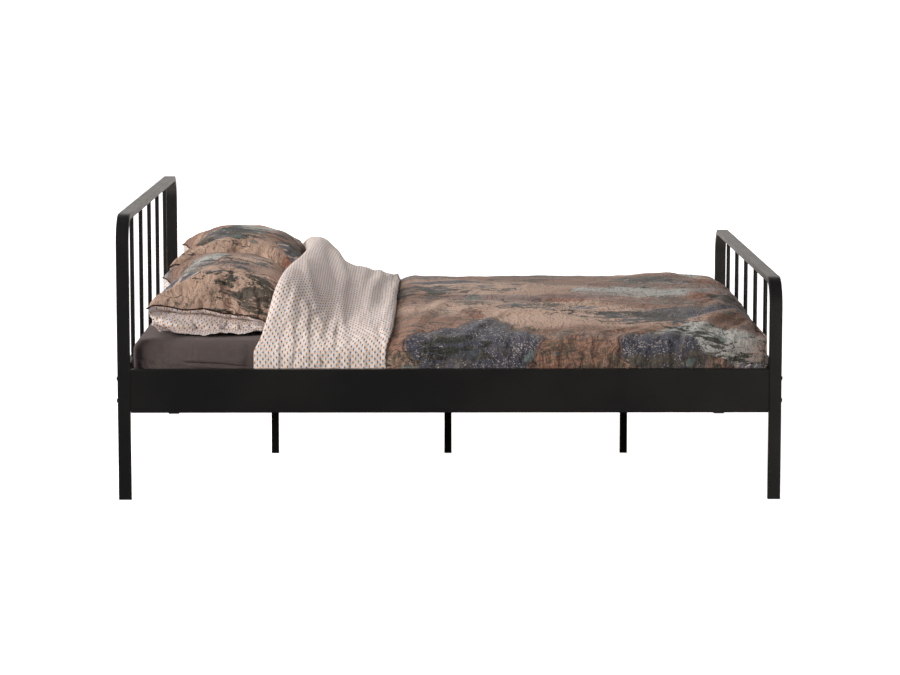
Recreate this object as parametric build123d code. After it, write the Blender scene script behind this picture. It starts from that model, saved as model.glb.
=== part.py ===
from build123d import *
import math
import os

# Made-up double bed: a steel tube frame with hooped ends, folded steel side
# rails, a sprung slat base on a centre beam, and the mattress and bedding.
# Millimetres. X runs from the head (-X) to the foot (+X), Y across the bed,
# Z up. The origin is on the floor, in the middle of the footprint.
# "right" is -Y and "left" is +Y, as for a sleeper lying on their back.

# ---------------------------------------------------------------- overall
L = 2090.0              # outside of head legs to outside of foot legs
W = 1870.0              # outside of right legs to outside of left legs
H_HEAD = 900.0          # top of the head hoop
H_FOOT = 700.0          # top of the foot hoop

# ---------------------------------------------------------------- end frames
TUBE_X = 40.0           # hoop tube, along the bed
TUBE_T = 20.0           # hoop tube, across its thin way
WALL = 1.5              # tube wall
EDGE_R = 3.0            # outside corner of every rectangular tube
BEND_R = 92.0           # outside radius of the hoop's two bends
CROSS_TOP = 420.0       # top of the lower cross rail of each end
CROSS_X = 20.0
CROSS_Z = 40.0
SPINDLE_D = 14.0
SPINDLE_WALL = 1.2
SPINDLES = 5
CAP_T = 3.0             # flange of the plastic plug under each leg
CAP_PLUG = 22.0
CAP_GAP = 0.2

# ---------------------------------------------------------------- side rails
RAIL_Z0 = 277.0
RAIL_Z1 = 415.0
RAIL_T = 30.0
RAIL_WALL = 2.0
RAIL_R = 3.0
RAIL_LIP = 15.0
RAIL_GAP = 2.0          # shadow gap between rail end and leg
BRACKET_T = 4.0
BOLT_Z = (315.5, 385.5)

# ---------------------------------------------------------------- fasteners
M8_R = 3.9
M8_HOLE_R = 4.3
M8_HEAD_R = 6.6
M8_HEAD_H = 3.2
M8_LEN = 55.0
M8_AF = 13.0
M8_NUT_H = 6.5
M6_R = 2.9
M6_HOLE_R = 3.2
M6_HEAD_R = 5.25
M6_HEAD_H = 3.3
M6_LEN = 16.0
M6_AF = 10.0
M6_NUT_H = 5.0

# ---------------------------------------------------------------- slat base
LEDGE_TOP = 282.5
LEDGE_T = 2.5
LEDGE_IN = 865.0        # inner edge of the ledge, from the bed's middle
LEDGE_X = 960.0
BEAM_Y = 40.0
BEAM_Z = 30.0
BEAM_X = 1009.0
LEG_S = 25.0            # square support leg
LEG_X = (-597.0, 0.0, 607.0)
PLATE_T = 3.0
SLAT_N = 13
SLAT_PITCH = 150.0
SLAT_W = 68.0
SLAT_T = 8.0
SLAT_RISE = 4.0         # crown of a sprung slat at mid span
POCKET_H = 9.4
HOLDER_W = 75.0
HOLDER_Z1 = 296.6
PEG_R = 3.9

# ---------------------------------------------------------------- mattress
MAT_X = 995.0
MAT_Y = 893.0
MAT_Z0 = 298.0
MAT_Z1 = 497.0
MAT_CORNER = 70.0
MAT_EDGE = 40.0
SHEET_T = 1.5

# ---------------------------------------------------------------- pillows
PIL_X = 540.0           # along the bed
PIL_Y = 622.0           # across the bed
PIL_Z = 222.0
PIL_CORNER = 120.0
PIL_EDGE = 100.0
PIL_TILT = 6.0
PIL_CX = -700.0
PIL_CY = 421.0
PIL_CZ = 637.0
CASE_T = 2.0

# ---------------------------------------------------------------- duvet
DUV_FOOT = 1003.0
DUV_Y = 904.0
DUV_TUCK = 402.0        # how far down the sides are tucked in
DUV_CLEAR = 1.5

out = {}


def save(name, *solids):
    out[name] = list(solids)


def box(x0, x1, y0, y1, z0, z1):
    return Pos((x0 + x1) / 2, (y0 + y1) / 2, (z0 + z1) / 2) * Box(
        x1 - x0, y1 - y0, z1 - z0
    )


def rod(axis, at, radius, length):
    """A cylinder that starts at a point and runs along +axis for length, or back if length is negative."""
    turn = {"X": Rot(0, 90, 0), "Y": Rot(-90, 0, 0), "Z": Rot(0, 0, 0)}[axis]
    body = turn * (Pos(0, 0, length / 2) * Cylinder(radius, abs(length)))
    return Pos(*at) * body


def tube_x(width_y, height_z, radius, x0, x1, y, z):
    """Rounded rectangular bar along X, centred on y and z."""
    sketch = Plane(origin=(x0, y, z), x_dir=(0, 1, 0), z_dir=(1, 0, 0)) * (
        RectangleRounded(width_y, height_z, radius)
    )
    return extrude(sketch, x1 - x0)


def tube_y(width_x, height_z, radius, y0, y1, x, z):
    sketch = Plane(origin=(x, y0, z), x_dir=(-1, 0, 0), z_dir=(0, 1, 0)) * (
        RectangleRounded(width_x, height_z, radius)
    )
    return extrude(sketch, y1 - y0)


def tube_z(width_x, width_y, radius, z0, z1, x, y):
    return extrude(
        Plane(origin=(x, y, z0)) * RectangleRounded(width_x, width_y, radius), z1 - z0
    )


# ---------------------------------------------------------------- hoops
def hoop_blank(height, bottom, inset, half, radius):
    """Arch outline in the Y-Z plane, thickened along X, with its long edges rounded."""
    yo, yi = W / 2 - inset, W / 2 - TUBE_T + inset
    zo, zi = height - inset, height - TUBE_T + inset
    ro, ri = BEND_R - inset, BEND_R - TUBE_T + inset
    k = math.sqrt(0.5)

    def arc(cy, cz, r, side):
        a = (cy + side * r, cz)
        m = (cy + side * r * k, cz + r * k)
        b = (cy, cz + r)
        return a, m, b

    cyo, czo = yo - ro, zo - ro
    cyi, czi = yi - ri, zi - ri
    la, lm, lb = arc(-cyo, czo, ro, -1)
    ra, rm, rb = arc(cyo, czo, ro, 1)
    ila, ilm, ilb = arc(-cyi, czi, ri, -1)
    ira, irm, irb = arc(cyi, czi, ri, 1)
    edges = [
        Line((-yo, bottom), la),
        ThreePointArc(la, lm, lb),
        Line(lb, rb),
        ThreePointArc(rb, rm, ra),
        Line(ra, (yo, bottom)),
        Line((yo, bottom), (yi, bottom)),
        Line((yi, bottom), ira),
        ThreePointArc(ira, irm, irb),
        Line(irb, ilb),
        ThreePointArc(ilb, ilm, ila),
        Line(ila, (-yi, bottom)),
        Line((-yi, bottom), (-yo, bottom)),
    ]
    face = Plane.YZ * make_face(Curve() + edges)
    solid = extrude(face, half, both=True)
    long_edges = [
        e
        for e in solid.edges()
        if abs(abs(e.center().X) - half) < 1e-3 and e.center().Z > bottom + 0.5
    ]
    return fillet(long_edges, radius)


def hoop(height, x):
    outer = hoop_blank(height, CAP_T, 0, TUBE_X / 2, EDGE_R)
    inner = hoop_blank(height, CAP_T - 5, WALL, TUBE_X / 2 - WALL, EDGE_R - WALL)
    body = Pos(x, 0, 0) * (outer - inner)
    for side in (-1, 1):
        for z in BOLT_Z:
            body -= rod(
                "X",
                (x - TUBE_X, side * (W / 2 - TUBE_T / 2), z),
                M8_HOLE_R,
                TUBE_X * 2,
            )
    return body.solid() if hasattr(body, "solid") else body


X_LEG = L / 2 - TUBE_X / 2
Y_LEG = W / 2 - TUBE_T / 2
ENDS = {"head": (-1, H_HEAD), "foot": (1, H_FOOT)}
SIDES = {"right": -1, "left": 1}

for end, (sx, height) in ENDS.items():
    x = sx * X_LEG
    save(f"{end}_hoop", hoop(height, x))

    z_mid = CROSS_TOP - CROSS_Z / 2
    y_in = W / 2 - TUBE_T
    cross = tube_y(CROSS_X, CROSS_Z, EDGE_R, -y_in, y_in, x, z_mid) - tube_y(
        CROSS_X - 2 * WALL,
        CROSS_Z - 2 * WALL,
        EDGE_R - WALL,
        -y_in - 1,
        y_in + 1,
        x,
        z_mid,
    )
    save(f"{end}_cross_rail", cross)

    pitch = (W - TUBE_T) / (SPINDLES + 1)
    for i in range(SPINDLES):
        y = -Y_LEG + pitch * (i + 1)
        z0, z1 = CROSS_TOP, height - TUBE_T
        spindle = rod("Z", (x, y, z0), SPINDLE_D / 2, z1 - z0) - rod(
            "Z", (x, y, z0 - 1), SPINDLE_D / 2 - SPINDLE_WALL, z1 - z0 + 2
        )
        save(f"{end}_spindle_{i + 1}", spindle)

    # Plastic plug in the foot of each leg.
    for side, sy in SIDES.items():
        y = sy * Y_LEG
        flange = tube_z(TUBE_X, TUBE_T, EDGE_R, 0, CAP_T, x, y)
        flange = chamfer(flange.edges().group_by(Axis.Z)[0], 0.8)
        iw = TUBE_X - 2 * WALL - 2 * CAP_GAP
        it = TUBE_T - 2 * WALL - 2 * CAP_GAP
        plug = tube_z(iw, it, 1.3, CAP_T, CAP_T + CAP_PLUG, x, y)
        core = tube_z(iw - 5, it - 5, 1.0, CAP_T + 1, CAP_T + CAP_PLUG + 1, x, y)
        save(f"{end}_leg_cap_{side}", flange + plug - core)

# ---------------------------------------------------------------- side rails
RAIL_X = L / 2 - TUBE_X - RAIL_GAP
for side, sy in SIDES.items():
    y_mid = sy * (W / 2 - RAIL_T / 2)
    z_mid = (RAIL_Z0 + RAIL_Z1) / 2
    h = RAIL_Z1 - RAIL_Z0
    rail = tube_x(RAIL_T, h, RAIL_R, -RAIL_X, RAIL_X, y_mid, z_mid)
    rail -= tube_x(
        RAIL_T - 2 * RAIL_WALL,
        h - 2 * RAIL_WALL,
        RAIL_R - RAIL_WALL,
        -RAIL_X - 1,
        RAIL_X + 1,
        y_mid,
        z_mid,
    )
    y_inner = sy * (W / 2 - RAIL_T)
    rail -= box(
        -RAIL_X - 1,
        RAIL_X + 1,
        min(y_inner - sy * 1.0, y_inner + sy * (RAIL_WALL + 0.5)),
        max(y_inner - sy * 1.0, y_inner + sy * (RAIL_WALL + 0.5)),
        RAIL_Z0 + RAIL_WALL + RAIL_LIP,
        RAIL_Z1 - RAIL_WALL - RAIL_LIP,
    )
    save(f"side_rail_{side}", rail)

    # Steel angle along the inside of the rail, which carries the slat ends.
    y0, y1 = sy * (W / 2 - RAIL_T), sy * (W / 2 - RAIL_T - LEDGE_T)
    up = box(-LEDGE_X, LEDGE_X, min(y0, y1), max(y0, y1), LEDGE_TOP - LEDGE_T, 296.0)
    y2 = sy * LEDGE_IN
    flat = box(
        -LEDGE_X, LEDGE_X, min(y0, y2), max(y0, y2), LEDGE_TOP - LEDGE_T, LEDGE_TOP
    )
    ledge = up + flat
    for i in range(SLAT_N):
        xs = (i - (SLAT_N - 1) / 2) * SLAT_PITCH
        ledge -= rod("Z", (xs, sy * 884.0, LEDGE_TOP - 5), PEG_R + 0.2, 10)
    save(f"slat_ledge_{side}", ledge)

    # Corner bracket inside each end of the rail.
    y_web = W / 2 - RAIL_WALL
    for end, (sx, height) in ENDS.items():
        xe = sx * (L / 2 - TUBE_X)
        xi = xe - sx * BRACKET_T
        plate = box(
            min(xe, xi),
            max(xe, xi),
            min(sy * y_web, sy * (W / 2 - RAIL_T + RAIL_WALL)),
            max(sy * y_web, sy * (W / 2 - RAIL_T + RAIL_WALL)),
            RAIL_Z0 + RAIL_WALL + 2,
            RAIL_Z1 - RAIL_WALL - 2,
        )
        xt = xe - sx * 50.0
        tab = box(
            min(xi, xt),
            max(xi, xt),
            min(sy * y_web, sy * (y_web - 3)),
            max(sy * y_web, sy * (y_web - 3)),
            328,
            364,
        )
        bracket = plate + tab
        for z in BOLT_Z:
            bracket -= rod("X", (xe - 10, sy * Y_LEG, z), M8_HOLE_R, 20)
        save(f"corner_bracket_{end}_{side}", bracket)

# ---------------------------------------------------------------- rail bolts
bolts, nuts = [], []
for end, (sx, height) in ENDS.items():
    for side, sy in SIDES.items():
        for z in BOLT_Z:
            x0 = sx * L / 2
            y = sy * Y_LEG
            head = rod("X", (x0, y, z), M8_HEAD_R, sx * M8_HEAD_H)
            rim = [
                e
                for e in head.edges().filter_by(GeomType.CIRCLE)
                if abs(e.center().X) > L / 2 + M8_HEAD_H / 2
            ]
            head = fillet(rim, 2.4)
            socket_plane = Plane(
                origin=(x0 + sx * M8_HEAD_H, y, z), x_dir=(0, 1, 0), z_dir=(-sx, 0, 0)
            )
            head -= extrude(
                socket_plane
                * RegularPolygon(5.0 / math.sqrt(3), 6, major_radius=True),
                2.5,
            )
            shank = rod("X", (x0, y, z), M8_R, -sx * M8_LEN)
            bolts.append(head + shank)

            xn = sx * (L / 2 - TUBE_X - BRACKET_T)
            nut_plane = Plane(
                origin=(xn, y, z), x_dir=(0, 0, 1), z_dir=(-sx, 0, 0)
            )
            nut = extrude(
                nut_plane * RegularPolygon(M8_AF / math.sqrt(3), 6, major_radius=True),
                M8_NUT_H,
            )
            nut -= rod("X", (xn + sx, y, z), M8_R + 0.1, -sx * (M8_NUT_H + 2))
            nuts.append(nut)
save("rail_bolts", *bolts)
save("rail_nuts", *nuts)

# ---------------------------------------------------------------- centre beam
BEAM_TOP = LEDGE_TOP
BEAM_BOT = BEAM_TOP - BEAM_Z
beam = tube_x(BEAM_Y, BEAM_Z, EDGE_R, -BEAM_X, BEAM_X, 0, BEAM_TOP - BEAM_Z / 2)
beam -= tube_x(
    BEAM_Y - 2 * WALL,
    BEAM_Z - 2 * WALL,
    EDGE_R - WALL,
    -BEAM_X - 1,
    BEAM_X + 1,
    0,
    BEAM_TOP - BEAM_Z / 2,
)
for i in range(SLAT_N):
    xs = (i - (SLAT_N - 1) / 2) * SLAT_PITCH
    beam -= rod("Z", (xs, 0, BEAM_TOP - 4), PEG_R + 0.2, 8)
M6_X = [sx * (BEAM_X - 25) for sx in (-1, 1)]
for lx in LEG_X:
    M6_X += [lx - 24.0, lx + 24.0]
for xb in M6_X:
    beam -= rod("Z", (xb, 0, BEAM_BOT - 2), M6_HOLE_R, 6)
save("centre_beam", beam)

# Hanger welded to each end's cross rail, with a seat for the beam.
for end, (sx, height) in ENDS.items():
    xw = sx * (X_LEG - CROSS_X / 2)
    x1 = xw - sx * 4.0
    x2 = xw - sx * 48.0
    back = box(min(xw, x1), max(xw, x1), -30, 30, BEAM_BOT - PLATE_T, 412)
    seat = box(min(x1, x2), max(x1, x2), -24, 24, BEAM_BOT - PLATE_T, BEAM_BOT)
    cheeks = box(
        min(x1, x2), max(x1, x2), -24, -BEAM_Y / 2 - 0.4, BEAM_BOT, BEAM_TOP - 3
    ) + box(min(x1, x2), max(x1, x2), BEAM_Y / 2 + 0.4, 24, BEAM_BOT, BEAM_TOP - 3)
    hanger = back + seat + cheeks
    hanger -= rod(
        "Z", (sx * (BEAM_X - 25), 0, BEAM_BOT - PLATE_T - 1), M6_HOLE_R, PLATE_T + 2
    )
    save(f"beam_hanger_{end}", hanger)

# ---------------------------------------------------------------- centre legs
caps = []
for i, lx in enumerate(LEG_X):
    plate = box(lx - 35, lx + 35, -19, 19, BEAM_BOT - PLATE_T, BEAM_BOT)
    plate = fillet(plate.edges().filter_by(Axis.Z), 5)
    for dx in (-24, 24):
        plate -= rod(
            "Z", (lx + dx, 0, BEAM_BOT - PLATE_T - 1), M6_HOLE_R, PLATE_T + 2
        )
    top = BEAM_BOT - PLATE_T
    leg = tube_z(LEG_S, LEG_S, EDGE_R - 0.5, 2.5, top, lx, 0) - tube_z(
        LEG_S - 2 * WALL, LEG_S - 2 * WALL, 1.0, 1.5, top, lx, 0
    )
    save(f"support_leg_{i + 1}", plate + leg)
    flange = tube_z(LEG_S, LEG_S, EDGE_R - 0.5, 0, 2.5, lx, 0)
    flange = chamfer(flange.edges().group_by(Axis.Z)[0], 0.6)
    s = LEG_S - 2 * WALL - 2 * CAP_GAP
    caps.append(flange + tube_z(s, s, 0.8, 2.5, 20, lx, 0))
save("support_leg_caps", *caps)

beam_bolts, beam_nuts = [], []
for xb in M6_X:
    zt = BEAM_BOT - PLATE_T
    head = rod("Z", (xb, 0, zt), M6_HEAD_R, -M6_HEAD_H)
    low = [
        e
        for e in head.edges().filter_by(GeomType.CIRCLE)
        if e.center().Z < zt - M6_HEAD_H / 2
    ]
    head = fillet(low, 2.2)
    head -= extrude(
        Plane(origin=(xb, 0, zt - M6_HEAD_H))
        * RegularPolygon(4.0 / math.sqrt(3), 6, major_radius=True),
        1.8,
    )
    beam_bolts.append(head + rod("Z", (xb, 0, zt), M6_R, M6_LEN))
    nut = extrude(
        Plane(origin=(xb, 0, BEAM_BOT + WALL))
        * RegularPolygon(M6_AF / math.sqrt(3), 6, major_radius=True),
        M6_NUT_H,
    )
    nut -= rod("Z", (xb, 0, BEAM_BOT), M6_R + 0.1, M6_NUT_H + 4)
    beam_nuts.append(nut)
save("beam_bolts", *beam_bolts)
save("beam_nuts", *beam_nuts)

# ---------------------------------------------------------------- slats
POCKET_Z0 = LEDGE_TOP + 2.5
SLAT_Z0 = POCKET_Z0 + 0.2
SLAT_OUT, SLAT_IN = 898.0, 4.0
span = SLAT_OUT - SLAT_IN
R_ARCH = (span / 2) ** 2 / (2 * SLAT_RISE) + SLAT_RISE / 2


def slat(x, sy):
    """Bent plywood strip, an arc band in the Y-Z plane, made as a ring sector cut from its outline."""
    ya, yb = sy * SLAT_IN, sy * SLAT_OUT
    ym = (ya + yb) / 2
    z0, z1 = SLAT_Z0, SLAT_Z0 + SLAT_T
    edges = [
        ThreePointArc((ya, z0), (ym, z0 + SLAT_RISE), (yb, z0)),
        Line((yb, z0), (yb, z1)),
        ThreePointArc((yb, z1), (ym, z1 + SLAT_RISE), (ya, z1)),
        Line((ya, z1), (ya, z0)),
    ]
    face = Plane.YZ * make_face(Curve() + edges)
    body = extrude(face, SLAT_W / 2, both=True)
    return Pos(x, 0, 0) * body


def holder(x, y0, y1, pockets):
    """Moulded end cap: a block with one or two pockets and a peg underneath."""
    body = box(x - HOLDER_W / 2, x + HOLDER_W / 2, y0, y1, LEDGE_TOP, HOLDER_Z1)
    body = fillet(body.edges().filter_by(Axis.Z), 4)
    body = fillet(body.faces().sort_by(Axis.Z)[-1].edges(), 1.5)
    for p0, p1 in pockets:
        body -= box(
            x - SLAT_W / 2 - 0.3,
            x + SLAT_W / 2 + 0.3,
            min(p0, p1),
            max(p0, p1),
            POCKET_Z0,
            POCKET_Z0 + POCKET_H,
        )
    return body


slats = {"right": [], "left": []}
side_holders = {"right": [], "left": []}
mid_holders = []
for i in range(SLAT_N):
    xs = (i - (SLAT_N - 1) / 2) * SLAT_PITCH
    for side, sy in SIDES.items():
        slats[side].append(slat(xs, sy))
        a, b = sorted((sy * 862.0, sy * 902.0))
        h = holder(xs, a, b, [(sy * 861.0, sy * 898.5)])
        h += rod("Z", (xs, sy * 884.0, LEDGE_TOP), PEG_R, -7)
        side_holders[side].append(h)
    h = holder(xs, -42, 42, [(-43, -3.5), (3.5, 43)])
    h += rod("Z", (xs, 0, LEDGE_TOP), PEG_R, -7)
    mid_holders.append(h)
for side in SIDES:
    save(f"slats_{side}", *slats[side])
    save(f"slat_holders_{side}", *side_holders[side])
save("slat_holders_middle", *mid_holders)


# ---------------------------------------------------------------- mattress
def slab(grow, z0, z1):
    body = box(
        -MAT_X - grow, MAT_X + grow, -MAT_Y - grow, MAT_Y + grow, z0, z1 + grow
    )
    body = fillet(body.edges().filter_by(Axis.Z), MAT_CORNER + grow)
    return fillet(body.faces().sort_by(Axis.Z)[-1].edges(), MAT_EDGE + grow)


mattress = slab(0, MAT_Z0, MAT_Z1)
mattress = fillet(mattress.faces().sort_by(Axis.Z)[0].edges(), 25)
save("mattress", mattress)
# The fitted sheet is a skin over the top and the sides, gathered 30 mm above
# the mattress's lower edge.
save("fitted_sheet", slab(SHEET_T, MAT_Z0 + 30, MAT_Z1) - slab(0, MAT_Z0, MAT_Z1))


# ---------------------------------------------------------------- pillows
def pillow(sy, grow):
    body = Box(PIL_X + 2 * grow, PIL_Y + 2 * grow, PIL_Z + 2 * grow)
    body = fillet(body.edges().filter_by(Axis.Z), PIL_CORNER + grow)
    body = fillet(body.faces().sort_by(Axis.Z)[-1].edges(), PIL_EDGE + grow)
    body = fillet(body.faces().sort_by(Axis.Z)[0].edges(), PIL_EDGE + grow)
    return Pos(PIL_CX, sy * PIL_CY, PIL_CZ) * (Rot(0, PIL_TILT, 0) * body)


for side, sy in SIDES.items():
    core = pillow(sy, -CASE_T)
    save(f"pillow_{side}", core)
    save(f"pillowcase_{side}", pillow(sy, 0) - pillow(sy, -CASE_T + 0.3))

# ---------------------------------------------------------------- duvet
# Lengthwise outline of the made bed: turned-down band over the pillows' lower
# ends, then the level top, and the rounded foot end.
profile = [
    (-612, DUV_TUCK),
    (-500, 690),
    (-478, 712),
    (-440, 705),
    (-350, 632),
    (-250, 596),
    (-150, 586),
    (300, 588),
    (800, 586),
    (900, 578),
    (965, 556),
    (995, 520),
    (DUV_FOOT, 480),
    (DUV_FOOT, DUV_TUCK),
]
outline = Plane.XZ * make_face(Polyline(*profile, close=True))
duvet = extrude(outline, DUV_Y, both=True)
rims = [
    e
    for e in duvet.edges()
    if abs(abs(e.center().Y) - DUV_Y) < 1e-3
    and e.center().Z > 540
    and -470 < e.center().X < 900
]
duvet = fillet(rims, 40) if rims else duvet
duvet -= box(
    -1200,
    MAT_X + SHEET_T + 2.0,
    -(MAT_Y + SHEET_T + DUV_CLEAR),
    MAT_Y + SHEET_T + DUV_CLEAR,
    0,
    MAT_Z1 + SHEET_T + 0.5,
)
for side, sy in SIDES.items():
    duvet -= pillow(sy, 0.6)
save("duvet", *[s for s in duvet.solids() if s.volume > 1000])

# ---------------------------------------------------------------- write
os.makedirs("parts", exist_ok=True)
for name, solids in out.items():
    flat_list = []
    for s in solids:
        flat_list += list(s.solids())
    shape = flat_list[0] if len(flat_list) == 1 else Compound(children=flat_list)
    export_step(shape, f"parts/{name}.step")
print(len(out), "nodes")
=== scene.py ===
import math

import bpy
import numpy as np
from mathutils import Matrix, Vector

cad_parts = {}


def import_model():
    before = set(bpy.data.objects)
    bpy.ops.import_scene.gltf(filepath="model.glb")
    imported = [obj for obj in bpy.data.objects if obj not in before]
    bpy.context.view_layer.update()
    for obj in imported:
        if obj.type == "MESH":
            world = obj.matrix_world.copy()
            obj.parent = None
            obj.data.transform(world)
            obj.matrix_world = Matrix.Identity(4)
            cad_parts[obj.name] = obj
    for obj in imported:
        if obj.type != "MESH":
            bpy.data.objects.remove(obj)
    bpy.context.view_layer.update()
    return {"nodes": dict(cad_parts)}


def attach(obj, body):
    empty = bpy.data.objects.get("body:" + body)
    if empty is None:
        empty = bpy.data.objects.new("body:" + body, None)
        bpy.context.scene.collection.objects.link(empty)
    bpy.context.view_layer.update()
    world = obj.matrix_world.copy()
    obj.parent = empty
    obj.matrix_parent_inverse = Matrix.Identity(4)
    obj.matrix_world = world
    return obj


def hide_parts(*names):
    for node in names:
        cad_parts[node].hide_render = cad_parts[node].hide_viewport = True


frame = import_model()
MM = 0.001
SET = "mattress_set"

# ---------------------------------------------------------------- camera, light, floor

cam_data = bpy.data.cameras.new("camera")
cam_data.lens = 122.12
cam_data.sensor_width = 36.0
cam_data.clip_end = 200.0
cam = bpy.data.objects.new("camera", cam_data)
bpy.context.collection.objects.link(cam)
cam.location = (-0.0644, -10.4478, 1.6851)
cam.rotation_euler = (math.radians(82.994), 0.0, math.radians(-0.392))
bpy.context.scene.camera = cam

sc = bpy.context.scene
sc.view_settings.view_transform = "Standard"
sc.view_settings.look = "None"
sc.view_settings.exposure = 0.0


def area_light(name, loc, target, size, power, tint=(1, 1, 1), glossy=True):
    d = bpy.data.lights.new(name, "AREA")
    d.shape = "RECTANGLE"
    d.size, d.size_y = size
    d.energy = power
    d.color = tint
    o = bpy.data.objects.new(name, d)
    bpy.context.collection.objects.link(o)
    o.location = loc
    o.rotation_euler = (Vector(target) - Vector(loc)).to_track_quat("-Z", "Y").to_euler()
    o.visible_glossy = glossy
    return o


WARM = (1.0, 0.98, 0.955)
area_light("key_left_front", (-6.4, -4.9, 2.9), (0.0, -0.4, 0.45), (2.8, 2.8), 610, WARM, False)
area_light("fill_front", (1.8, -7.0, 2.2), (0.0, 0.0, 0.45), (4.0, 2.4), 134, WARM, False)
area_light("top_left", (-2.4, 1.2, 4.6), (0.0, 0.0, 0.4), (2.4, 2.4), 128, WARM, False)
card = area_light("card_right", (2.6, -3.2, 0.5), (1.03, -0.92, 0.5), (0.8, 1.6), 24.0, (1, 1, 1), True)
card.visible_diffuse = False

world = bpy.data.worlds.new("studio")
sc.world = world
world.use_nodes = True
_w = world.node_tree
_tc = _w.nodes.new("ShaderNodeTexCoord")
_sx = _w.nodes.new("ShaderNodeSeparateXYZ")
_w.links.new(_tc.outputs["Generated"], _sx.inputs[0])


def _range(sock, a, b, c, d):
    n = _w.nodes.new("ShaderNodeMapRange")
    n.interpolation_type = "SMOOTHSTEP"
    for k, v in (("From Min", a), ("From Max", b), ("To Min", c), ("To Max", d)):
        n.inputs[k].default_value = v
    _w.links.new(sock, n.inputs["Value"])
    return n.outputs["Result"]


_up = _range(_sx.outputs["Z"], -0.25, 0.75, 0.0, 0.30)
_back = _range(_sx.outputs["Y"], 0.0, 0.9, 0.34, 1.25)
_ad = _w.nodes.new("ShaderNodeMath")
_w.links.new(_up, _ad.inputs[0])
_w.links.new(_back, _ad.inputs[1])
_w.links.new(_ad.outputs[0], _w.nodes["Background"].inputs["Strength"])


def lin(r, g, b):
    """Linear colour from 8-bit sRGB."""
    def f(v):
        v = v / 255.0
        return v / 12.92 if v <= 0.04045 else ((v + 0.055) / 1.055) ** 2.4
    return (f(r), f(g), f(b), 1.0)


# ---------------------------------------------------------------- node helper

class Mat:
    def __init__(self, name):
        self.m = bpy.data.materials.new(name)
        self.m.use_nodes = True
        self.nt = self.m.node_tree
        self.nt.nodes.clear()
        self.out = self.nt.nodes.new("ShaderNodeOutputMaterial")
        self.bsdf = self.nt.nodes.new("ShaderNodeBsdfPrincipled")
        self.nt.links.new(self.bsdf.outputs["BSDF"], self.out.inputs["Surface"])
        self._tc = None

    def put(self, node, key, val):
        s = node.inputs[key]
        if isinstance(val, bpy.types.NodeSocket):
            self.nt.links.new(val, s)
        elif val is not None:
            s.default_value = val

    def n(self, kind, ins=None, **props):
        node = self.nt.nodes.new("ShaderNode" + kind)
        for k, v in props.items():
            setattr(node, k, v)
        for k, v in (ins or {}).items():
            self.put(node, k, v)
        return node

    def obj(self):
        if self._tc is None:
            self._tc = self.n("TexCoord")
        return self._tc.outputs["Object"]

    def uv(self, name="fabric"):
        return self.n("UVMap", uv_map=name).outputs["UV"]

    def scale(self, vec, s, off=(0, 0, 0), rot=(0, 0, 0)):
        return self.n("Mapping", {"Vector": vec, "Scale": s, "Location": off, "Rotation": rot}).outputs["Vector"]

    def math(self, op, a, b=None, c=None, clamp=False):
        node = self.n("Math", operation=op, use_clamp=clamp)
        for i, v in enumerate((a, b, c)):
            if v is not None:
                self.put(node, i, v)
        return node.outputs[0]

    def vmath(self, op, a, b=None):
        node = self.n("VectorMath", operation=op)
        self.put(node, 0, a)
        if b is not None:
            self.put(node, 1, b)
        return node.outputs["Vector"]

    def noise(self, vec, scale, detail=3.0, rough=0.5, dist=0.0, out="Fac"):
        node = self.n("TexNoise", {"Vector": vec, "Scale": scale, "Detail": detail, "Roughness": rough, "Distortion": dist})
        return node.outputs["Fac" if out == "Fac" else "Color"]

    def voronoi(self, vec, scale, feature="F1", rand=1.0, out="Distance"):
        node = self.n("TexVoronoi", {"Vector": vec, "Scale": scale, "Randomness": rand}, feature=feature)
        return node.outputs[out]

    def wave(self, vec, scale, dist=0.0, detail=2.0, dscale=1.0, axis="X", profile="SIN"):
        node = self.n("TexWave", {"Vector": vec, "Scale": scale, "Distortion": dist, "Detail": detail, "Detail Scale": dscale},
                      wave_type="BANDS", bands_direction=axis, wave_profile=profile)
        return node.outputs["Fac"]

    def ramp(self, fac, stops, interp="LINEAR"):
        node = self.n("ValToRGB", {"Fac": fac})
        cr = node.color_ramp
        cr.interpolation = interp
        while len(cr.elements) < len(stops):
            cr.elements.new(0.5)
        for e, (p, col) in zip(cr.elements, stops):
            e.position = p
            e.color = col if hasattr(col, "__len__") else (col, col, col, 1)
        return node.outputs["Color"]

    def step(self, fac, lo, hi):
        """0 below lo, 1 above hi, smooth between."""
        node = self.n("MapRange", {"Value": fac, "From Min": lo, "From Max": hi, "To Min": 0.0, "To Max": 1.0},
                      interpolation_type="SMOOTHSTEP")
        return node.outputs["Result"]

    def range(self, fac, a, b, c, d):
        return self.n("MapRange", {"Value": fac, "From Min": a, "From Max": b, "To Min": c, "To Max": d}).outputs["Result"]

    def mix(self, fac, a, b, mode="MIX"):
        node = self.nt.nodes.new("ShaderNodeMix")
        node.data_type = "RGBA"
        node.blend_type = mode
        self.put(node, 0, fac)
        self.put(node, 6, a)
        self.put(node, 7, b)
        return node.outputs[2]

    def bump(self, height, strength=0.3, distance=0.001, normal=None):
        node = self.n("Bump", {"Height": height, "Strength": strength, "Distance": distance})
        if normal is not None:
            self.put(node, "Normal", normal)
        return node.outputs["Normal"]

    def set(self, **kw):
        names = {"color": "Base Color", "rough": "Roughness", "metal": "Metallic", "normal": "Normal",
                 "spec": "Specular IOR Level", "sheen": "Sheen Weight", "sheen_rough": "Sheen Roughness",
                 "sheen_tint": "Sheen Tint", "coat": "Coat Weight", "coat_rough": "Coat Roughness",
                 "aniso": "Anisotropic"}
        for k, v in kw.items():
            self.put(self.bsdf, names[k], v)
        return self.m


# ---------------------------------------------------------------- hard materials

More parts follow.
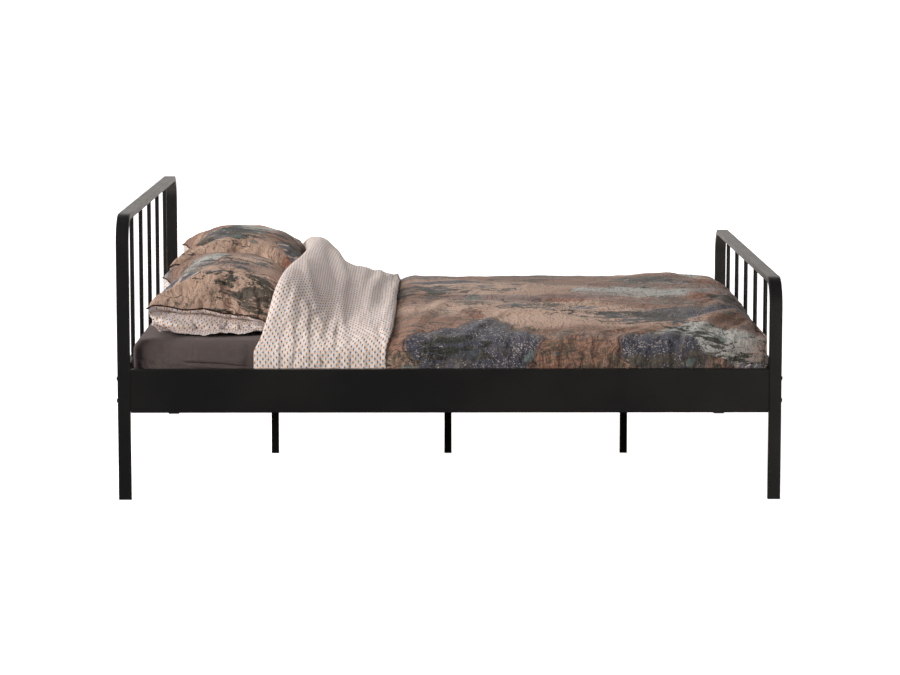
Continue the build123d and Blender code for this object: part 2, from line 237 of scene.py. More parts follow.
def powder_coat(name="frame_black_powder", spec=0.5, base=26):
    m = Mat(name)
    o = m.obj()
    broad = m.noise(o, 6.0, 3.0, 0.5)
    grain = m.noise(o, 1500.0, 2.0, 0.6)
    peel = m.noise(o, 260.0, 2.0, 0.5)
    dust = m.noise(o, 60.0, 6.0, 0.7)
    col = m.mix(m.step(broad, 0.3, 0.7), lin(base, base, base + 1), lin(base + 5, base + 5, base + 5))
    col = m.mix(m.math("MULTIPLY", m.step(grain, 0.60, 0.78), 0.35), col, lin(44, 43, 42))
    rough = m.range(m.mix(0.5, m.math("MULTIPLY", broad, 1.0), dust), 0.3, 0.7, 0.40, 0.50)
    nrm = m.bump(grain, 0.22, 0.0004)
    nrm = m.bump(peel, 0.12, 0.0008, nrm)
    m.bsdf.inputs["Specular Tint"].default_value = (0.91, 0.835, 0.755, 1.0)
    return m.set(color=col, rough=rough, spec=spec, normal=nrm)


def bolt_black():
    m = Mat("bolt_black_oxide")
    o = m.obj()
    a = m.noise(o, 900.0, 3.0, 0.6)
    w = m.noise(o, 90.0, 4.0, 0.6)
    col = m.mix(m.step(a, 0.35, 0.7), lin(30, 30, 31), lin(44, 43, 42))
    return m.set(color=col, rough=m.range(w, 0.3, 0.7, 0.28, 0.45), metal=0.6, normal=m.bump(a, 0.15, 0.0003))


def zinc():
    m = Mat("zinc_plated_steel")
    o = m.obj()
    cell = m.voronoi(o, 240.0, out="Color")
    sep = m.n("SeparateColor", {"Color": cell}).outputs[0]
    a = m.noise(o, 700.0, 3.0, 0.6)
    col = m.mix(sep, lin(158, 160, 163), lin(186, 188, 190))
    col = m.mix(m.math("MULTIPLY", m.step(a, 0.55, 0.8), 0.5), col, lin(120, 118, 112))
    return m.set(color=col, rough=m.range(a, 0.2, 0.8, 0.26, 0.45), metal=1.0, normal=m.bump(a, 0.1, 0.0003))


def cap_plastic(name, a_col, b_col, rough=(0.42, 0.58)):
    m = Mat(name)
    o = m.obj()
    fine = m.noise(o, 1300.0, 2.0, 0.6)
    broad = m.noise(o, 30.0, 4.0, 0.6)
    col = m.mix(m.step(broad, 0.3, 0.7), a_col, b_col)
    scuff = m.step(m.noise(m.scale(o, (400.0, 40.0, 400.0)), 1.0, 4.0, 0.7), 0.62, 0.8)
    col = m.mix(m.math("MULTIPLY", scuff, 0.25), col, lin(90, 89, 88))
    return m.set(color=col, rough=m.range(fine, 0.2, 0.8, *rough), normal=m.bump(fine, 0.18, 0.0003))


def slat_wood():
    m = Mat("slat_beech_ply")
    o = m.obj()
    per = m.noise(m.scale(o, (6.6, 0.4, 0.0)), 1.0, 0.0, 0.5)
    long = m.scale(o, (38.0, 1.6, 38.0))
    g1 = m.noise(long, 1.0, 5.0, 0.6, 0.6)
    rings = m.wave(m.scale(o, (30.0, 0.9, 30.0)), 1.0, 6.0, 3.0, 1.2, "X")
    pores = m.noise(m.scale(o, (900.0, 42.0, 900.0)), 1.0, 3.0, 0.6)
    col = m.mix(g1, lin(214, 182, 140), lin(187, 149, 106))
    col = m.mix(m.math("MULTIPLY", m.step(rings, 0.45, 0.9), 0.35), col, lin(168, 128, 86))
    col = m.mix(m.math("MULTIPLY", m.step(per, 0.35, 0.65), 0.35), col, lin(225, 199, 160))
    col = m.mix(m.math("MULTIPLY", m.step(pores, 0.56, 0.7), 0.45), col, lin(134, 98, 63))
    # veneer lines on the edges only
    nrm = m.n("NewGeometry").outputs["Normal"]
    nz = m.math("ABSOLUTE", m.n("SeparateXYZ", {"Vector": nrm}).outputs["Z"])
    edge = m.math("SUBTRACT", 1.0, m.step(nz, 0.45, 0.7))
    ply = m.wave(m.scale(o, (0.0, 0.0, 1.0)), 98.0, 0.2, 1.0, 1.0, "Z")
    col = m.mix(m.math("MULTIPLY", edge, m.step(ply, 0.35, 0.75)), col, lin(120, 84, 52))
    b = m.bump(pores, 0.3, 0.0004)
    b = m.bump(g1, 0.15, 0.001, b)
    return m.set(color=col, rough=m.range(g1, 0.2, 0.8, 0.42, 0.60), spec=0.4, normal=b)


MATS = {
    "frame_black": powder_coat(),
    # painted shade: the support legs stand in the shadow under the bed, so they take a darker copy of the same powder
    # coat with weaker reflection
    "frame_black_painted_shade": powder_coat("frame_black_powder_painted_shade", 0.06, 19),
    "bolt_black": bolt_black(),
    "zinc_steel": zinc(),
    "cap_plastic": cap_plastic("cap_black_plastic", lin(26, 26, 27), lin(34, 34, 34)),
    "holder_plastic": cap_plastic("slat_holder_plastic", lin(38, 38, 40), lin(50, 50, 51), (0.35, 0.5)),
    "slat_wood": slat_wood(),
}


def slot_of(name):
    if name.endswith("_spindle_1") or "spindle" in name or "hoop" in name or "cross_rail" in name:
        return "frame_black"
    if name.startswith(("side_rail", "slat_ledge", "corner_bracket", "beam_hanger", "centre_beam")):
        return "frame_black"
    if "caps" in name or "leg_cap" in name:
        return "cap_plastic"
    # the support legs get the darker copy of the black powder coat, painted shade for their place under the bed
    if name.startswith("support_leg"):
        return "frame_black_painted_shade"
    if name in ("rail_bolts", "beam_bolts"):
        return "bolt_black"
    if name in ("rail_nuts", "beam_nuts"):
        return "zinc_steel"
    if name.startswith("slat_holders"):
        return "holder_plastic"
    if name.startswith("slats"):
        return "slat_wood"
    return None


for nname, nobj in frame["nodes"].items():
    s = slot_of(nname)
    if s:
        if not nobj.material_slots:
            nobj.data.materials.append(MATS[s])
        for ms in nobj.material_slots:
            ms.material = MATS[s]

# ---------------------------------------------------------------- fabric materials

def weave(m, vec, pitch_mm, strength=0.25, normal=None):
    """Plain weave relief at a thread pitch, from fabric coordinates in metres."""
    k = 1000.0 / pitch_mm
    a = m.wave(m.scale(vec, (k, k, k)), 0.5, 0.8, 1.0, 0.4, "X")
    b = m.wave(m.scale(vec, (k, k, k)), 0.5, 0.8, 1.0, 0.4, "Y")
    return m.bump(m.math("MULTIPLY", a, b), strength, 0.0003, normal)


def creases(m, vec, strength=0.5, dist=0.004, normal=None, scale=1.0):
    """Fine brushed creases of washed cotton."""
    w = m.noise(m.scale(vec, (9.0 * scale, 9.0 * scale, 1.0)), 1.0, 3.0, 0.5, 0.0, "Color")
    warped = m.vmath("ADD", m.scale(vec, (26.0 * scale, 11.0 * scale, 1.0), rot=(0, 0, 0.5)), w)
    n1 = m.noise(warped, 1.0, 5.0, 0.62, 0.4)
    r = m.math("ABSOLUTE", m.math("SUBTRACT", n1, 0.5))
    ridge = m.math("SUBTRACT", 1.0, m.step(r, 0.0, 0.10))
    soft = m.noise(m.scale(vec, (45.0 * scale, 30.0 * scale, 1.0)), 1.0, 4.0, 0.6, 0.8)
    h = m.math("ADD", m.math("MULTIPLY", ridge, 0.55), m.math("MULTIPLY", soft, 0.8))
    return m.bump(h, strength, dist, normal)


def sheet_cotton():
    m = Mat("sheet_grey_cotton")
    o = m.obj()
    broad = m.noise(o, 5.0, 3.0, 0.5)
    slub = m.noise(m.scale(o, (40.0, 500.0, 500.0)), 1.0, 3.0, 0.6)
    fibre = m.noise(o, 900.0, 3.0, 0.7)
    col = m.mix(m.step(broad, 0.25, 0.75), lin(78, 69, 68), lin(88, 78, 76))
    col = m.mix(m.math("MULTIPLY", m.step(slub, 0.5, 0.75), 0.35), col, lin(104, 94, 91))
    col = m.mix(m.math("MULTIPLY", m.step(fibre, 0.55, 0.8), 0.25), col, lin(60, 52, 52))
    n = creases(m, o, 0.35, 0.003)
    n = m.bump(fibre, 0.3, 0.0004, n)
    return m.set(color=col, rough=m.range(slub, 0.2, 0.8, 0.80, 0.92), spec=0.25, sheen=0.25, sheen_rough=0.5,
                 sheen_tint=lin(150, 140, 138), normal=n)


def reverse_dash():
    m = Mat("bedding_reverse_dash")
    uv = m.uv()
    wob = m.noise(m.scale(uv, (240.0, 240.0, 1.0)), 1.0, 2.0, 0.5, 0.0, "Color")
    p = m.vmath("ADD", uv, m.vmath("SCALE", m.vmath("SUBTRACT", wob, (0.5, 0.5, 0.5))))
    p.node.inputs[1].links[0].from_node.inputs["Scale"].default_value = 0.0016
    sep = m.n("SeparateXYZ", {"Vector": p})
    cu = m.math("DIVIDE", sep.outputs["X"], 0.0086)
    col_i = m.math("FLOOR", cu)
    fu = m.math("MULTIPLY", m.math("SUBTRACT", m.math("SUBTRACT", cu, col_i), 0.5), 8.6)
    odd = m.math("FRACT", m.math("MULTIPLY", col_i, 0.42))
    cv = m.math("ADD", m.math("DIVIDE", sep.outputs["Y"], 0.0218), odd)
    row_i = m.math("FLOOR", cv)
    fv = m.math("MULTIPLY", m.math("SUBTRACT", m.math("SUBTRACT", cv, row_i), 0.5), 21.8)
    cell = m.n("CombineXYZ", {"X": col_i, "Y": row_i, "Z": 3.0}).outputs[0]
    rnd = m.n("TexWhiteNoise", {"Vector": cell}, noise_dimensions="3D")
    rs = m.n("SeparateColor", {"Color": rnd.outputs["Color"]})
    r1, r2, r3 = rs.outputs[0], rs.outputs[1], rs.outputs[2]
    dx = m.math("MAXIMUM", m.math("SUBTRACT", m.math("ABSOLUTE", fu), 0.78), 0.0)
    dy = m.math("MAXIMUM", m.math("SUBTRACT", m.math("ABSOLUTE", fv), m.range(r1, 0, 1, 4.7, 5.6)), 0.0)
    d = m.math("SQRT", m.math("ADD", m.math("MULTIPLY", dx, dx), m.math("MULTIPLY", dy, dy)))
    dash = m.math("SUBTRACT", 1.0, m.step(d, 0.95, 1.3))
    mid = m.math("ABSOLUTE", m.math("SUBTRACT", fv, m.range(r2, 0, 1, -0.9, 0.9)))
    navy_part = m.math("SUBTRACT", 1.0, m.step(mid, 2.0, 2.7))
    navy_on = m.range(r3, 0, 0.5, 0.8, 1.0)
    navy = m.math("MULTIPLY", navy_part, navy_on)
    ground = m.mix(m.noise(m.scale(uv, (7.0, 7.0, 1)), 1.0, 3.0, 0.5), lin(214, 210, 215), lin(227, 223, 227))
    thread = m.noise(m.scale(uv, (900.0, 1600.0, 1)), 1.0, 2.0, 0.6)
    ground = m.mix(m.math("MULTIPLY", m.step(thread, 0.5, 0.8), 0.25), ground, lin(194, 190, 197))
    ochre = m.mix(r1, lin(252, 184, 36), lin(238, 164, 30))
    inkc = m.mix(navy, ochre, m.mix(r2, lin(14, 15, 26), lin(44, 30, 30)))
    col = m.mix(m.math("MULTIPLY", dash, 0.98), ground, inkc)
    n = creases(m, uv, 0.6, 0.004)
    n = m.bump(thread, 0.25, 0.0004, n)
    return m.set(color=col, rough=m.range(thread, 0.2, 0.8, 0.78, 0.9), spec=0.25, sheen=0.15, sheen_rough=0.5, normal=n)


def print_side():
    """A generic all-over design of cloud-edged patches, in earth and slate colours."""
    m = Mat("bedding_print_generic")
    uv = m.uv()

    def warp(src, scale, amount, detail, rough=0.55):
        w = m.vmath("SUBTRACT", m.noise(m.scale(src, (scale, scale, 1)), 1.0, detail, rough, 0.0, "Color"), (0.5, 0.5, 0.5))
        v = m.vmath("SCALE", w)
        v.node.inputs["Scale"].default_value = amount
        return m.vmath("ADD", src, v)

    p = warp(uv, 2.6, 0.20, 3.0)
    pf = warp(p, 24.0, 0.034, 5.0, 0.68)
    pr = warp(p, 70.0, 0.012, 3.0, 0.6)

    def area(scale, off, lo, hi, src=pf, detail=1.0):
        v = m.scale(src, (scale[0], scale[1], 1.0), (off, off * 1.7, off))
        return m.step(m.noise(v, 1.0, detail, 0.5), lo, hi)

    def over(k, mask, col, new):
        return m.mix(m.math("MULTIPLY", mask, k), col, new)

    # ground: peach to tan, brushed
    g = m.mix(m.step(m.noise(m.scale(p, (1.8, 2.4, 1), (3, 5, 0)), 1.0, 3.0, 0.55), 0.32, 0.68), lin(196, 165, 146), lin(166, 135, 116))
    streak = m.noise(m.scale(p, (10.0, 80.0, 1)), 1.0, 4.0, 0.65)
    col = over(0.40, m.step(streak, 0.5, 0.72), g, lin(218, 192, 174))
    col = over(0.30, m.step(streak, 0.48, 0.30), col, lin(132, 102, 90))

    # pale sage pools with a thin edge
    v = m.noise(m.scale(p, (1.3, 1.9, 1), (21, 35, 21)), 1.0, 2.0, 0.5)
    pc = m.mix(m.noise(m.scale(p, (8, 30, 1)), 1.0, 3.0, 0.6), lin(158, 157, 152), lin(192, 191, 186))
    col = over(1.0, m.step(v, 0.590, 0.597), col, pc)
    col = over(0.5, m.math("SUBTRACT", 1.0, m.step(m.math("ABSOLUTE", m.math("SUBTRACT", v, 0.591)), 0.0, 0.004)), col, lin(96, 78, 70))

    # brown brush strokes, lengthwise, over wide stretches
    br = area((1.3, 2.2), 13.9, 0.47, 0.56)
    strokes = m.step(m.noise(m.scale(pf, (16.0, 105.0, 1), (8, 1, 0)), 1.0, 5.0, 0.72), 0.42, 0.60)
    bc = m.mix(strokes, lin(158, 114, 92), lin(86, 70, 65))
    col = over(0.80, br, col, bc)

    # terracotta stones
    terr = area((2.6, 4.2), 7.3, 0.640, 0.655)
    cells = m.voronoi(m.scale(pr, (62.0, 96.0, 1)), 1.0, "DISTANCE_TO_EDGE", 0.9)
    tc = m.mix(m.noise(m.scale(p, (10, 12, 1), (2, 2, 0)), 1.0, 3.0, 0.6), lin(178, 122, 94), lin(150, 98, 76))
    tc = m.mix(m.step(cells, 0.04, 0.22), lin(122, 86, 70), m.mix(m.step(cells, 0.20, 0.5), tc, lin(188, 148, 128)))
    col = over(0.9, terr, col, tc)

    # plum haze in long drifts
    hz = area((0.9, 4.2), 63.0, 0.585, 0.66, p, 3.0)
    col = over(0.65, hz, col, m.mix(m.noise(m.scale(p, (6, 60, 1)), 1.0, 4.0, 0.6), lin(92, 80, 88), lin(120, 104, 106)))

    # short upright hatching, like grass or bark
    hm = area((1.7, 2.6), 87.0, 0.50, 0.58)
    ht = m.noise(m.scale(pr, (230.0, 34.0, 1), (1, 6, 0)), 1.0, 4.0, 0.7)
    col = over(0.62, m.math("MULTIPLY", hm, m.step(ht, 0.53, 0.60)), col, lin(70, 58, 53))
    col = over(0.35, m.math("MULTIPLY", hm, m.step(ht, 0.42, 0.36)), col, lin(214, 182, 158))

    # slate ground with fine pale speckles
    sn = m.noise(m.scale(pf, (1.9, 2.3, 1), (31.7, 53.9, 31.7)), 1.0, 1.0, 0.5)
    sl = m.step(sn, 0.606, 0.612)
    cell = m.voronoi(m.scale(pr, (170.0, 170.0, 1)), 1.0)
    dense = m.step(m.noise(m.scale(p, (21, 21, 1), (4, 9, 0)), 1.0, 3.0, 0.6), 0.34, 0.58)
    sp = m.math("MULTIPLY", m.math("SUBTRACT", 1.0, m.step(cell, 0.22, 0.42)), dense)
    slc = m.mix(m.noise(m.scale(p, (12, 12, 1)), 1.0, 3.0, 0.6), lin(62, 62, 74), lin(88, 88, 99))
    slc = over(0.78, sp, slc, lin(204, 192, 178))
    col = over(1.0, sl, col, slc)
    col = over(0.85, m.math("SUBTRACT", 1.0, m.step(m.math("ABSOLUTE", m.math("SUBTRACT", sn, 0.605)), 0.0, 0.004)), col, lin(50, 44, 46))

    # drifting ribbons of slate blue and sand
    fn = m.noise(m.scale(pf, (2.0, 2.7, 1), (44.1, 75.0, 44.1)), 1.0, 2.0, 0.6)
    fl = m.step(fn, 0.618, 0.623)
    band = m.wave(m.scale(p, (11.0, 8.0, 1), rot=(0, 0, 0.7)), 1.0, 7.0, 3.0, 1.1, "X")
    blue = m.mix(m.noise(m.scale(pf, (60, 60, 1)), 1.0, 3.0, 0.6), lin(82, 86, 102), lin(130, 133, 144))
    flc = m.mix(m.step(band, 0.80, 0.86), blue, lin(206, 180, 160))
    flc = m.mix(m.step(m.math("ABSOLUTE", m.math("SUBTRACT", band, 0.81)), 0.0, 0.07), lin(52, 48, 54), flc)
    col = over(1.0, fl, col, flc)
    col = over(0.85, m.math("SUBTRACT", 1.0, m.step(m.math("ABSOLUTE", m.math("SUBTRACT", fn, 0.619)), 0.0, 0.005)), col, lin(50, 44, 46))

    # ragged dark foliage in clumps, blue-grey inside
    base = m.noise(m.scale(p, (2.4, 3.3, 1), (57, 11, 0)), 1.0, 2.0, 0.5)
    rag = m.noise(m.scale(pr, (15.0, 36.0, 1)), 1.0, 7.0, 0.74)
    fo = m.math("ADD", base, m.math("MULTIPLY", m.math("SUBTRACT", rag, 0.5), 1.0))
    fc = m.mix(m.step(m.noise(m.scale(pf, (90, 150, 1)), 1.0, 4.0, 0.75), 0.40, 0.60), lin(34, 37, 36), lin(76, 76, 68))
    fc = over(0.8, m.step(m.noise(m.scale(pf, (9, 15, 1), (3, 33, 0)), 1.0, 4.0, 0.65), 0.55, 0.59), fc, lin(82, 92, 102))
    col = over(0.96, m.step(fo, 0.592, 0.600), col, fc)
    # a second, smaller and browner growth, and dark boughs
    base2 = m.noise(m.scale(p, (3.6, 5.4, 1), (17, 81, 0)), 1.0, 2.0, 0.5)
    rag2 = m.noise(m.scale(pr, (60.0, 44.0, 1), (5, 5, 0)), 1.0, 6.0, 0.80)
    fo2 = m.math("ADD", base2, m.math("MULTIPLY", m.math("SUBTRACT", rag2, 0.5), 0.9))
    col = over(0.9, m.step(fo2, 0.615, 0.63), col, m.mix(m.step(rag2, 0.4, 0.6), lin(62, 54, 49), lin(100, 93, 80)))
    bough = m.noise(m.scale(pr, (7.0, 62.0, 1), (91, 2, 0)), 1.0, 4.0, 0.6)
    col = over(0.9, m.math("MULTIPLY", m.step(bough, 0.665, 0.675), m.step(base, 0.46, 0.52)), col, lin(46, 40, 40))

    # small grey-green leaves
    tl = area((9.0, 14.0), 3.1, 0.690, 0.702, pf)
    col = over(0.7, tl, col, lin(102, 114, 110))

    # thin contour lines, here and there
    cn = m.noise(m.scale(p, (2.6, 2.6, 1), (71, 3, 0)), 1.0, 3.0, 0.5)
    line = m.math("SUBTRACT", 1.0, m.step(m.math("ABSOLUTE", m.math("SUBTRACT", m.math("FRACT", m.math("MULTIPLY", cn, 9.0)), 0.5)), 0.014, 0.030))
    here = m.step(m.noise(m.scale(p, (2.0, 2.0, 1), (9, 40, 0)), 1.0, 2.0, 0.5), 0.45, 0.50)
    col = over(0.8, m.math("MULTIPLY", line, here), col, lin(58, 46, 44))

    # cloth variation
    thread = m.noise(m.scale(uv, (900.0, 1600.0, 1)), 1.0, 2.0, 0.6)
    col = over(0.18, m.step(thread, 0.5, 0.8), col, lin(112, 100, 94))
    wash = m.noise(m.scale(uv, (5.0, 9.0, 1), (2, 8, 0)), 1.0, 4.0, 0.6)
    col = over(0.22, m.step(wash, 0.5, 0.75), col, lin(176, 160, 150))
    n = creases(m, uv, 0.85, 0.006)
    n = m.bump(thread, 0.25, 0.0004, n)
    return m.set(color=col, rough=m.range(thread, 0.2, 0.8, 0.74, 0.88), spec=0.28, sheen=0.12, sheen_rough=0.5, normal=n)


def piping_mat():
    m = Mat("piping_brown")
    o = m.obj()
    f = m.noise(o, 1400.0, 2.0, 0.6)
    s = m.noise(m.scale(o, (220.0, 220.0, 220.0)), 1.0, 3.0, 0.6)
    col = m.mix(f, lin(58, 40, 36), lin(74, 53, 47))
    return m.set(color=col, rough=m.range(s, 0.2, 0.8, 0.7, 0.85), spec=0.3, normal=m.bump(f, 0.4, 0.0004))


def ticking():
    m = Mat("mattress_ticking")
    o = m.obj()
    knit = m.wave(m.scale(o, (1.0, 1.0, 1.0)), 330.0, 1.5, 2.0, 6.0, "DIAGONAL")
    fine = m.noise(o, 1100.0, 3.0, 0.65)
    broad = m.noise(o, 4.0, 3.0, 0.5)
    col = m.mix(m.step(broad, 0.3, 0.7), lin(226, 222, 214), lin(214, 209, 200))
    col = m.mix(m.math("MULTIPLY", knit, 0.22), col, lin(190, 184, 174))
    n = m.bump(knit, 0.35, 0.0008)
    n = m.bump(fine, 0.3, 0.0004, n)
    return m.set(color=col, rough=m.range(fine, 0.2, 0.8, 0.78, 0.92), spec=0.25, sheen=0.2, sheen_rough=0.5, normal=n)


MATS["sheet_cotton"] = sheet_cotton()
MATS["bedding_reverse"] = reverse_dash()
MATS["bedding_print"] = print_side()
MATS["piping"] = piping_mat()
MATS["mattress_ticking"] = ticking()

# ---------------------------------------------------------------- numbers: noise, splines, grids

def _hash(ix, iy, seed):
    h = (ix.astype(np.int64) * 374761393 + iy.astype(np.int64) * 668265263 + int(seed) * 69069 + 12345) & 0xFFFFFFFF
    h = ((h ^ (h >> 13)) * 1274126177) & 0xFFFFFFFF
    h = ((h ^ (h >> 15)) * 2246822519) & 0xFFFFFFFF
    return ((h ^ (h >> 16)) & 0xFFFFFF) / float(0x1000000)


def gnoise(x, y, seed=0):
    """Gradient noise, about -0.7 to 0.7."""
    x, y = np.broadcast_arrays(np.asarray(x, float), np.asarray(y, float))
    ix, iy = np.floor(x), np.floor(y)
    fx, fy = x - ix, y - iy
    ux = fx ** 3 * (fx * (fx * 6 - 15) + 10)
    uy = fy ** 3 * (fy * (fy * 6 - 15) + 10)

    def g(dx, dy):
        a = _hash(ix + dx, iy + dy, seed) * 2 * np.pi
        return np.cos(a) * (fx - dx) + np.sin(a) * (fy - dy)
    a, b, c, d = g(0, 0), g(1, 0), g(0, 1), g(1, 1)
    return (a * (1 - ux) + b * ux) * (1 - uy) + (c * (1 - ux) + d * ux) * uy


def fbm(x, y, seed=0, octaves=3, gain=0.5):
    t, amp, tot = 0.0, 1.0, 0.0
    for k in range(octaves):
        t = t + amp * gnoise(x * 2 ** k + 17.3 * k, y * 2 ** k - 9.1 * k, seed + k * 31)
        tot += amp
        amp *= gain
    return t / tot


def sstep(x, a, b):
    t = np.clip((x - a) / (b - a), 0, 1)
    return t * t * (3 - 2 * t)


def spl(xs, ys, x):
    """Smooth curve through (xs, ys): monotone cubic."""
    xs, ys = np.asarray(xs, float), np.asarray(ys, float)
    h = np.diff(xs)
    d = np.diff(ys) / h
    m = np.zeros_like(ys)
    m[0], m[-1] = d[0], d[-1]
    for i in range(1, len(xs) - 1):
        if d[i - 1] * d[i] > 0:
            w1, w2 = 2 * h[i] + h[i - 1], h[i] + 2 * h[i - 1]
            m[i] = (w1 + w2) / (w1 / d[i - 1] + w2 / d[i])
    x = np.clip(np.asarray(x, float), xs[0], xs[-1])
    k = np.clip(np.searchsorted(xs, x, side="right") - 1, 0, len(xs) - 2)
    t = (x - xs[k]) / h[k]
    return ((2 * t ** 3 - 3 * t ** 2 + 1) * ys[k] + (t ** 3 - 2 * t ** 2 + t) * h[k] * m[k]
            + (-2 * t ** 3 + 3 * t ** 2) * ys[k + 1] + (t ** 3 - t ** 2) * h[k] * m[k + 1])


def normals_of(P):
    """Unit normals of a grid of points, pointing up and out."""
    du = np.gradient(P, axis=0)
    dv = np.gradient(P, axis=1)
    N = np.cross(du, dv)
    return N / np.maximum(np.linalg.norm(N, axis=2, keepdims=True), 1e-12)


def arc(P, axis):
    """Running length along one axis of a grid."""
    d = np.linalg.norm(np.diff(P, axis=axis), axis=2)
    z = np.zeros_like(np.take(d, [0], axis=axis))
    return np.concatenate([z, np.cumsum(d, axis=axis)], axis=axis)


def resample(t_old, n):
    """Positions that part a running length evenly."""
    return np.interp(np.linspace(0, t_old[-1], n), t_old, np.arange(len(t_old)))


def make_mesh(name, verts, faces, uvs=None, mats=(), face_mat=None, corner_uvs=None, smooth=True):
    me = bpy.data.meshes.new(name)
    me.from_pydata([tuple(v) for v in verts], [], faces)
    me.validate()
    if uvs is not None:
        layer = me.uv_layers.new(name="fabric")
        loops = np.empty(len(me.loops), dtype=np.int32)
        me.loops.foreach_get("vertex_index", loops)
        layer.data.foreach_set("uv", np.asarray(uvs, dtype=np.float32)[loops].ravel())
    if corner_uvs is not None:
        layer = me.uv_layers.new(name="fabric")
        layer.data.foreach_set("uv", np.asarray(corner_uvs, dtype=np.float32).ravel())
    for mt in mats:
        me.materials.append(mt)
    if face_mat is not None:
        me.polygons.foreach_set("material_index", np.asarray(face_mat, dtype=np.int32))
    if smooth:
        me.polygons.foreach_set("use_smooth", np.ones(len(me.polygons), dtype=bool))
    me.update()
    ob = bpy.data.objects.new(name, me)
    bpy.context.collection.objects.link(ob)
    return ob


def grid_faces(n, m, off=0, flip=False):
    i, j = np.meshgrid(np.arange(n - 1), np.arange(m - 1), indexing="ij")
    a = off + i * m + j
    q = np.stack([a, a + m, a + m + 1, a + 1], -1).reshape(-1, 4)
    return (q[:, ::-1] if flip else q)


def pad_from_grids(name, top, bot, uv, mats, bottom_mat=0, uv_bot=None):
    """A closed pad from two grids that share their rim."""
    n, m, _ = top.shape
    idx_top = np.arange(n * m).reshape(n, m)
    inner = np.zeros((n, m), bool)
    inner[1:-1, 1:-1] = True
    idx_bot = idx_top.copy()
    idx_bot[inner] = n * m + np.arange(inner.sum())
    verts = np.concatenate([top.reshape(-1, 3), bot[inner]])
    uvs = np.concatenate([uv.reshape(-1, 2), uv[inner]])
    ft = np.stack([idx_top[:-1, :-1], idx_top[1:, :-1], idx_top[1:, 1:], idx_top[:-1, 1:]], -1).reshape(-1, 4)
    fb = np.stack([idx_bot[:-1, :-1], idx_bot[:-1, 1:], idx_bot[1:, 1:], idx_bot[1:, :-1]], -1).reshape(-1, 4)
    faces = np.concatenate([ft, fb]).tolist()
    fm = np.concatenate([np.zeros(len(ft), int), np.broadcast_to(bottom_mat, (n - 1, m - 1)).reshape(-1)])
    if uv_bot is not None:
        # below, each face corner takes the lower layer's own running length
        low = np.concatenate([uv_bot.reshape(-1, 2), uv_bot[inner]])
        k = len(ft)
        corner = np.concatenate([uvs[ft.reshape(-1)], low[fb.reshape(-1)]])
        return make_mesh(name, verts, faces, None, mats, fm, corner)
    return make_mesh(name, verts, faces, uvs, mats, fm)


def grow(P, gu, gv, iters, bend=0.25, found=0.02, seed=1, start=1.2, pin=None, wave=(60, 60)):
    """Cloth solver on a grid: the cloth is longer than its shape by gu and gv, and buckles into folds.
    It is held softly to the shape it started from, as filling holds a cover, and firmly where pinned."""
    X = P.copy()
    N = normals_of(P)
    s1, s2 = arc(P, 0), arc(P, 1)
    X += N * (start * fbm(s1 / wave[0], s2 / wave[1], seed, 3))[..., None]
    w = np.ones(P.shape[:2]) if pin is None else 1 - pin
    Lu = np.linalg.norm(P[1:] - P[:-1], axis=2) * (1 + 0.5 * (gu[1:] + gu[:-1]))
    Lv = np.linalg.norm(P[:, 1:] - P[:, :-1], axis=2) * (1 + 0.5 * (gv[:, 1:] + gv[:, :-1]))
    g = 0.5 * (gu + gv)
    Ld = np.linalg.norm(P[1:, 1:] - P[:-1, :-1], axis=2) * (1 + g[1:, 1:])
    Le = np.linalg.norm(P[1:, :-1] - P[:-1, 1:], axis=2) * (1 + g[1:, :-1])
    Bu = Lu[1:] + Lu[:-1]
    Bv = Lv[:, 1:] + Lv[:, :-1]
    Bu4 = Bu[2:] + Bu[:-2]
    Bv4 = Bv[:, 2:] + Bv[:, :-2]

    def pair(A, B, L, k):
        a, b = X[A], X[B]
        wa, wb = w[A], w[B]
        d = b - a
        ln = np.sqrt((d * d).sum(-1)) + 1e-9
        c = (k * (ln - L) / ln / np.maximum(wa + wb, 1e-6))[..., None] * d
        X[A] = a + wa[..., None] * c
        X[B] = X[B] - wb[..., None] * c

    def soft(A, B, L, k, acc):
        d = X[B] - X[A]
        ln = np.sqrt((d * d).sum(-1)) + 1e-9
        c = (0.5 * k * (ln - L) / ln)[..., None] * d
        acc[A] += c
        acc[B] -= c

    sl = slice
    for it in range(iters):
        for o in (0, 1):
            k = (P.shape[0] - o) // 2 * 2
            A = (sl(o, o + k, 2), sl(None))
            B = (sl(o + 1, o + k, 2), sl(None))
            pair(A, B, Lu[o:o + k:2][:k // 2], 1.0)
            k = (P.shape[1] - o) // 2 * 2
            A = (sl(None), sl(o, o + k, 2))
            B = (sl(None), sl(o + 1, o + k, 2))
            pair(A, B, Lv[:, o:o + k:2][:, :k // 2], 1.0)
        acc = np.zeros_like(X)
        soft((sl(0, -1), sl(0, -1)), (sl(1, None), sl(1, None)), Ld, 0.25, acc)
        soft((sl(0, -1), sl(1, None)), (sl(1, None), sl(0, -1)), Le, 0.25, acc)
        soft((sl(0, -2), sl(None)), (sl(2, None), sl(None)), Bu, bend, acc)
        soft((sl(None), sl(0, -2)), (sl(None), sl(2, None)), Bv, bend, acc)
        soft((sl(0, -4), sl(None)), (sl(4, None), sl(None)), Bu4, bend * 0.6, acc)
        soft((sl(None), sl(0, -4)), (sl(None), sl(4, None)), Bv4, bend * 0.6, acc)
        X += acc * w[..., None] * 0.5
        X += (P - X) * (found * w + (1 - w))[..., None]
    return ((X - P) * N).sum(-1)


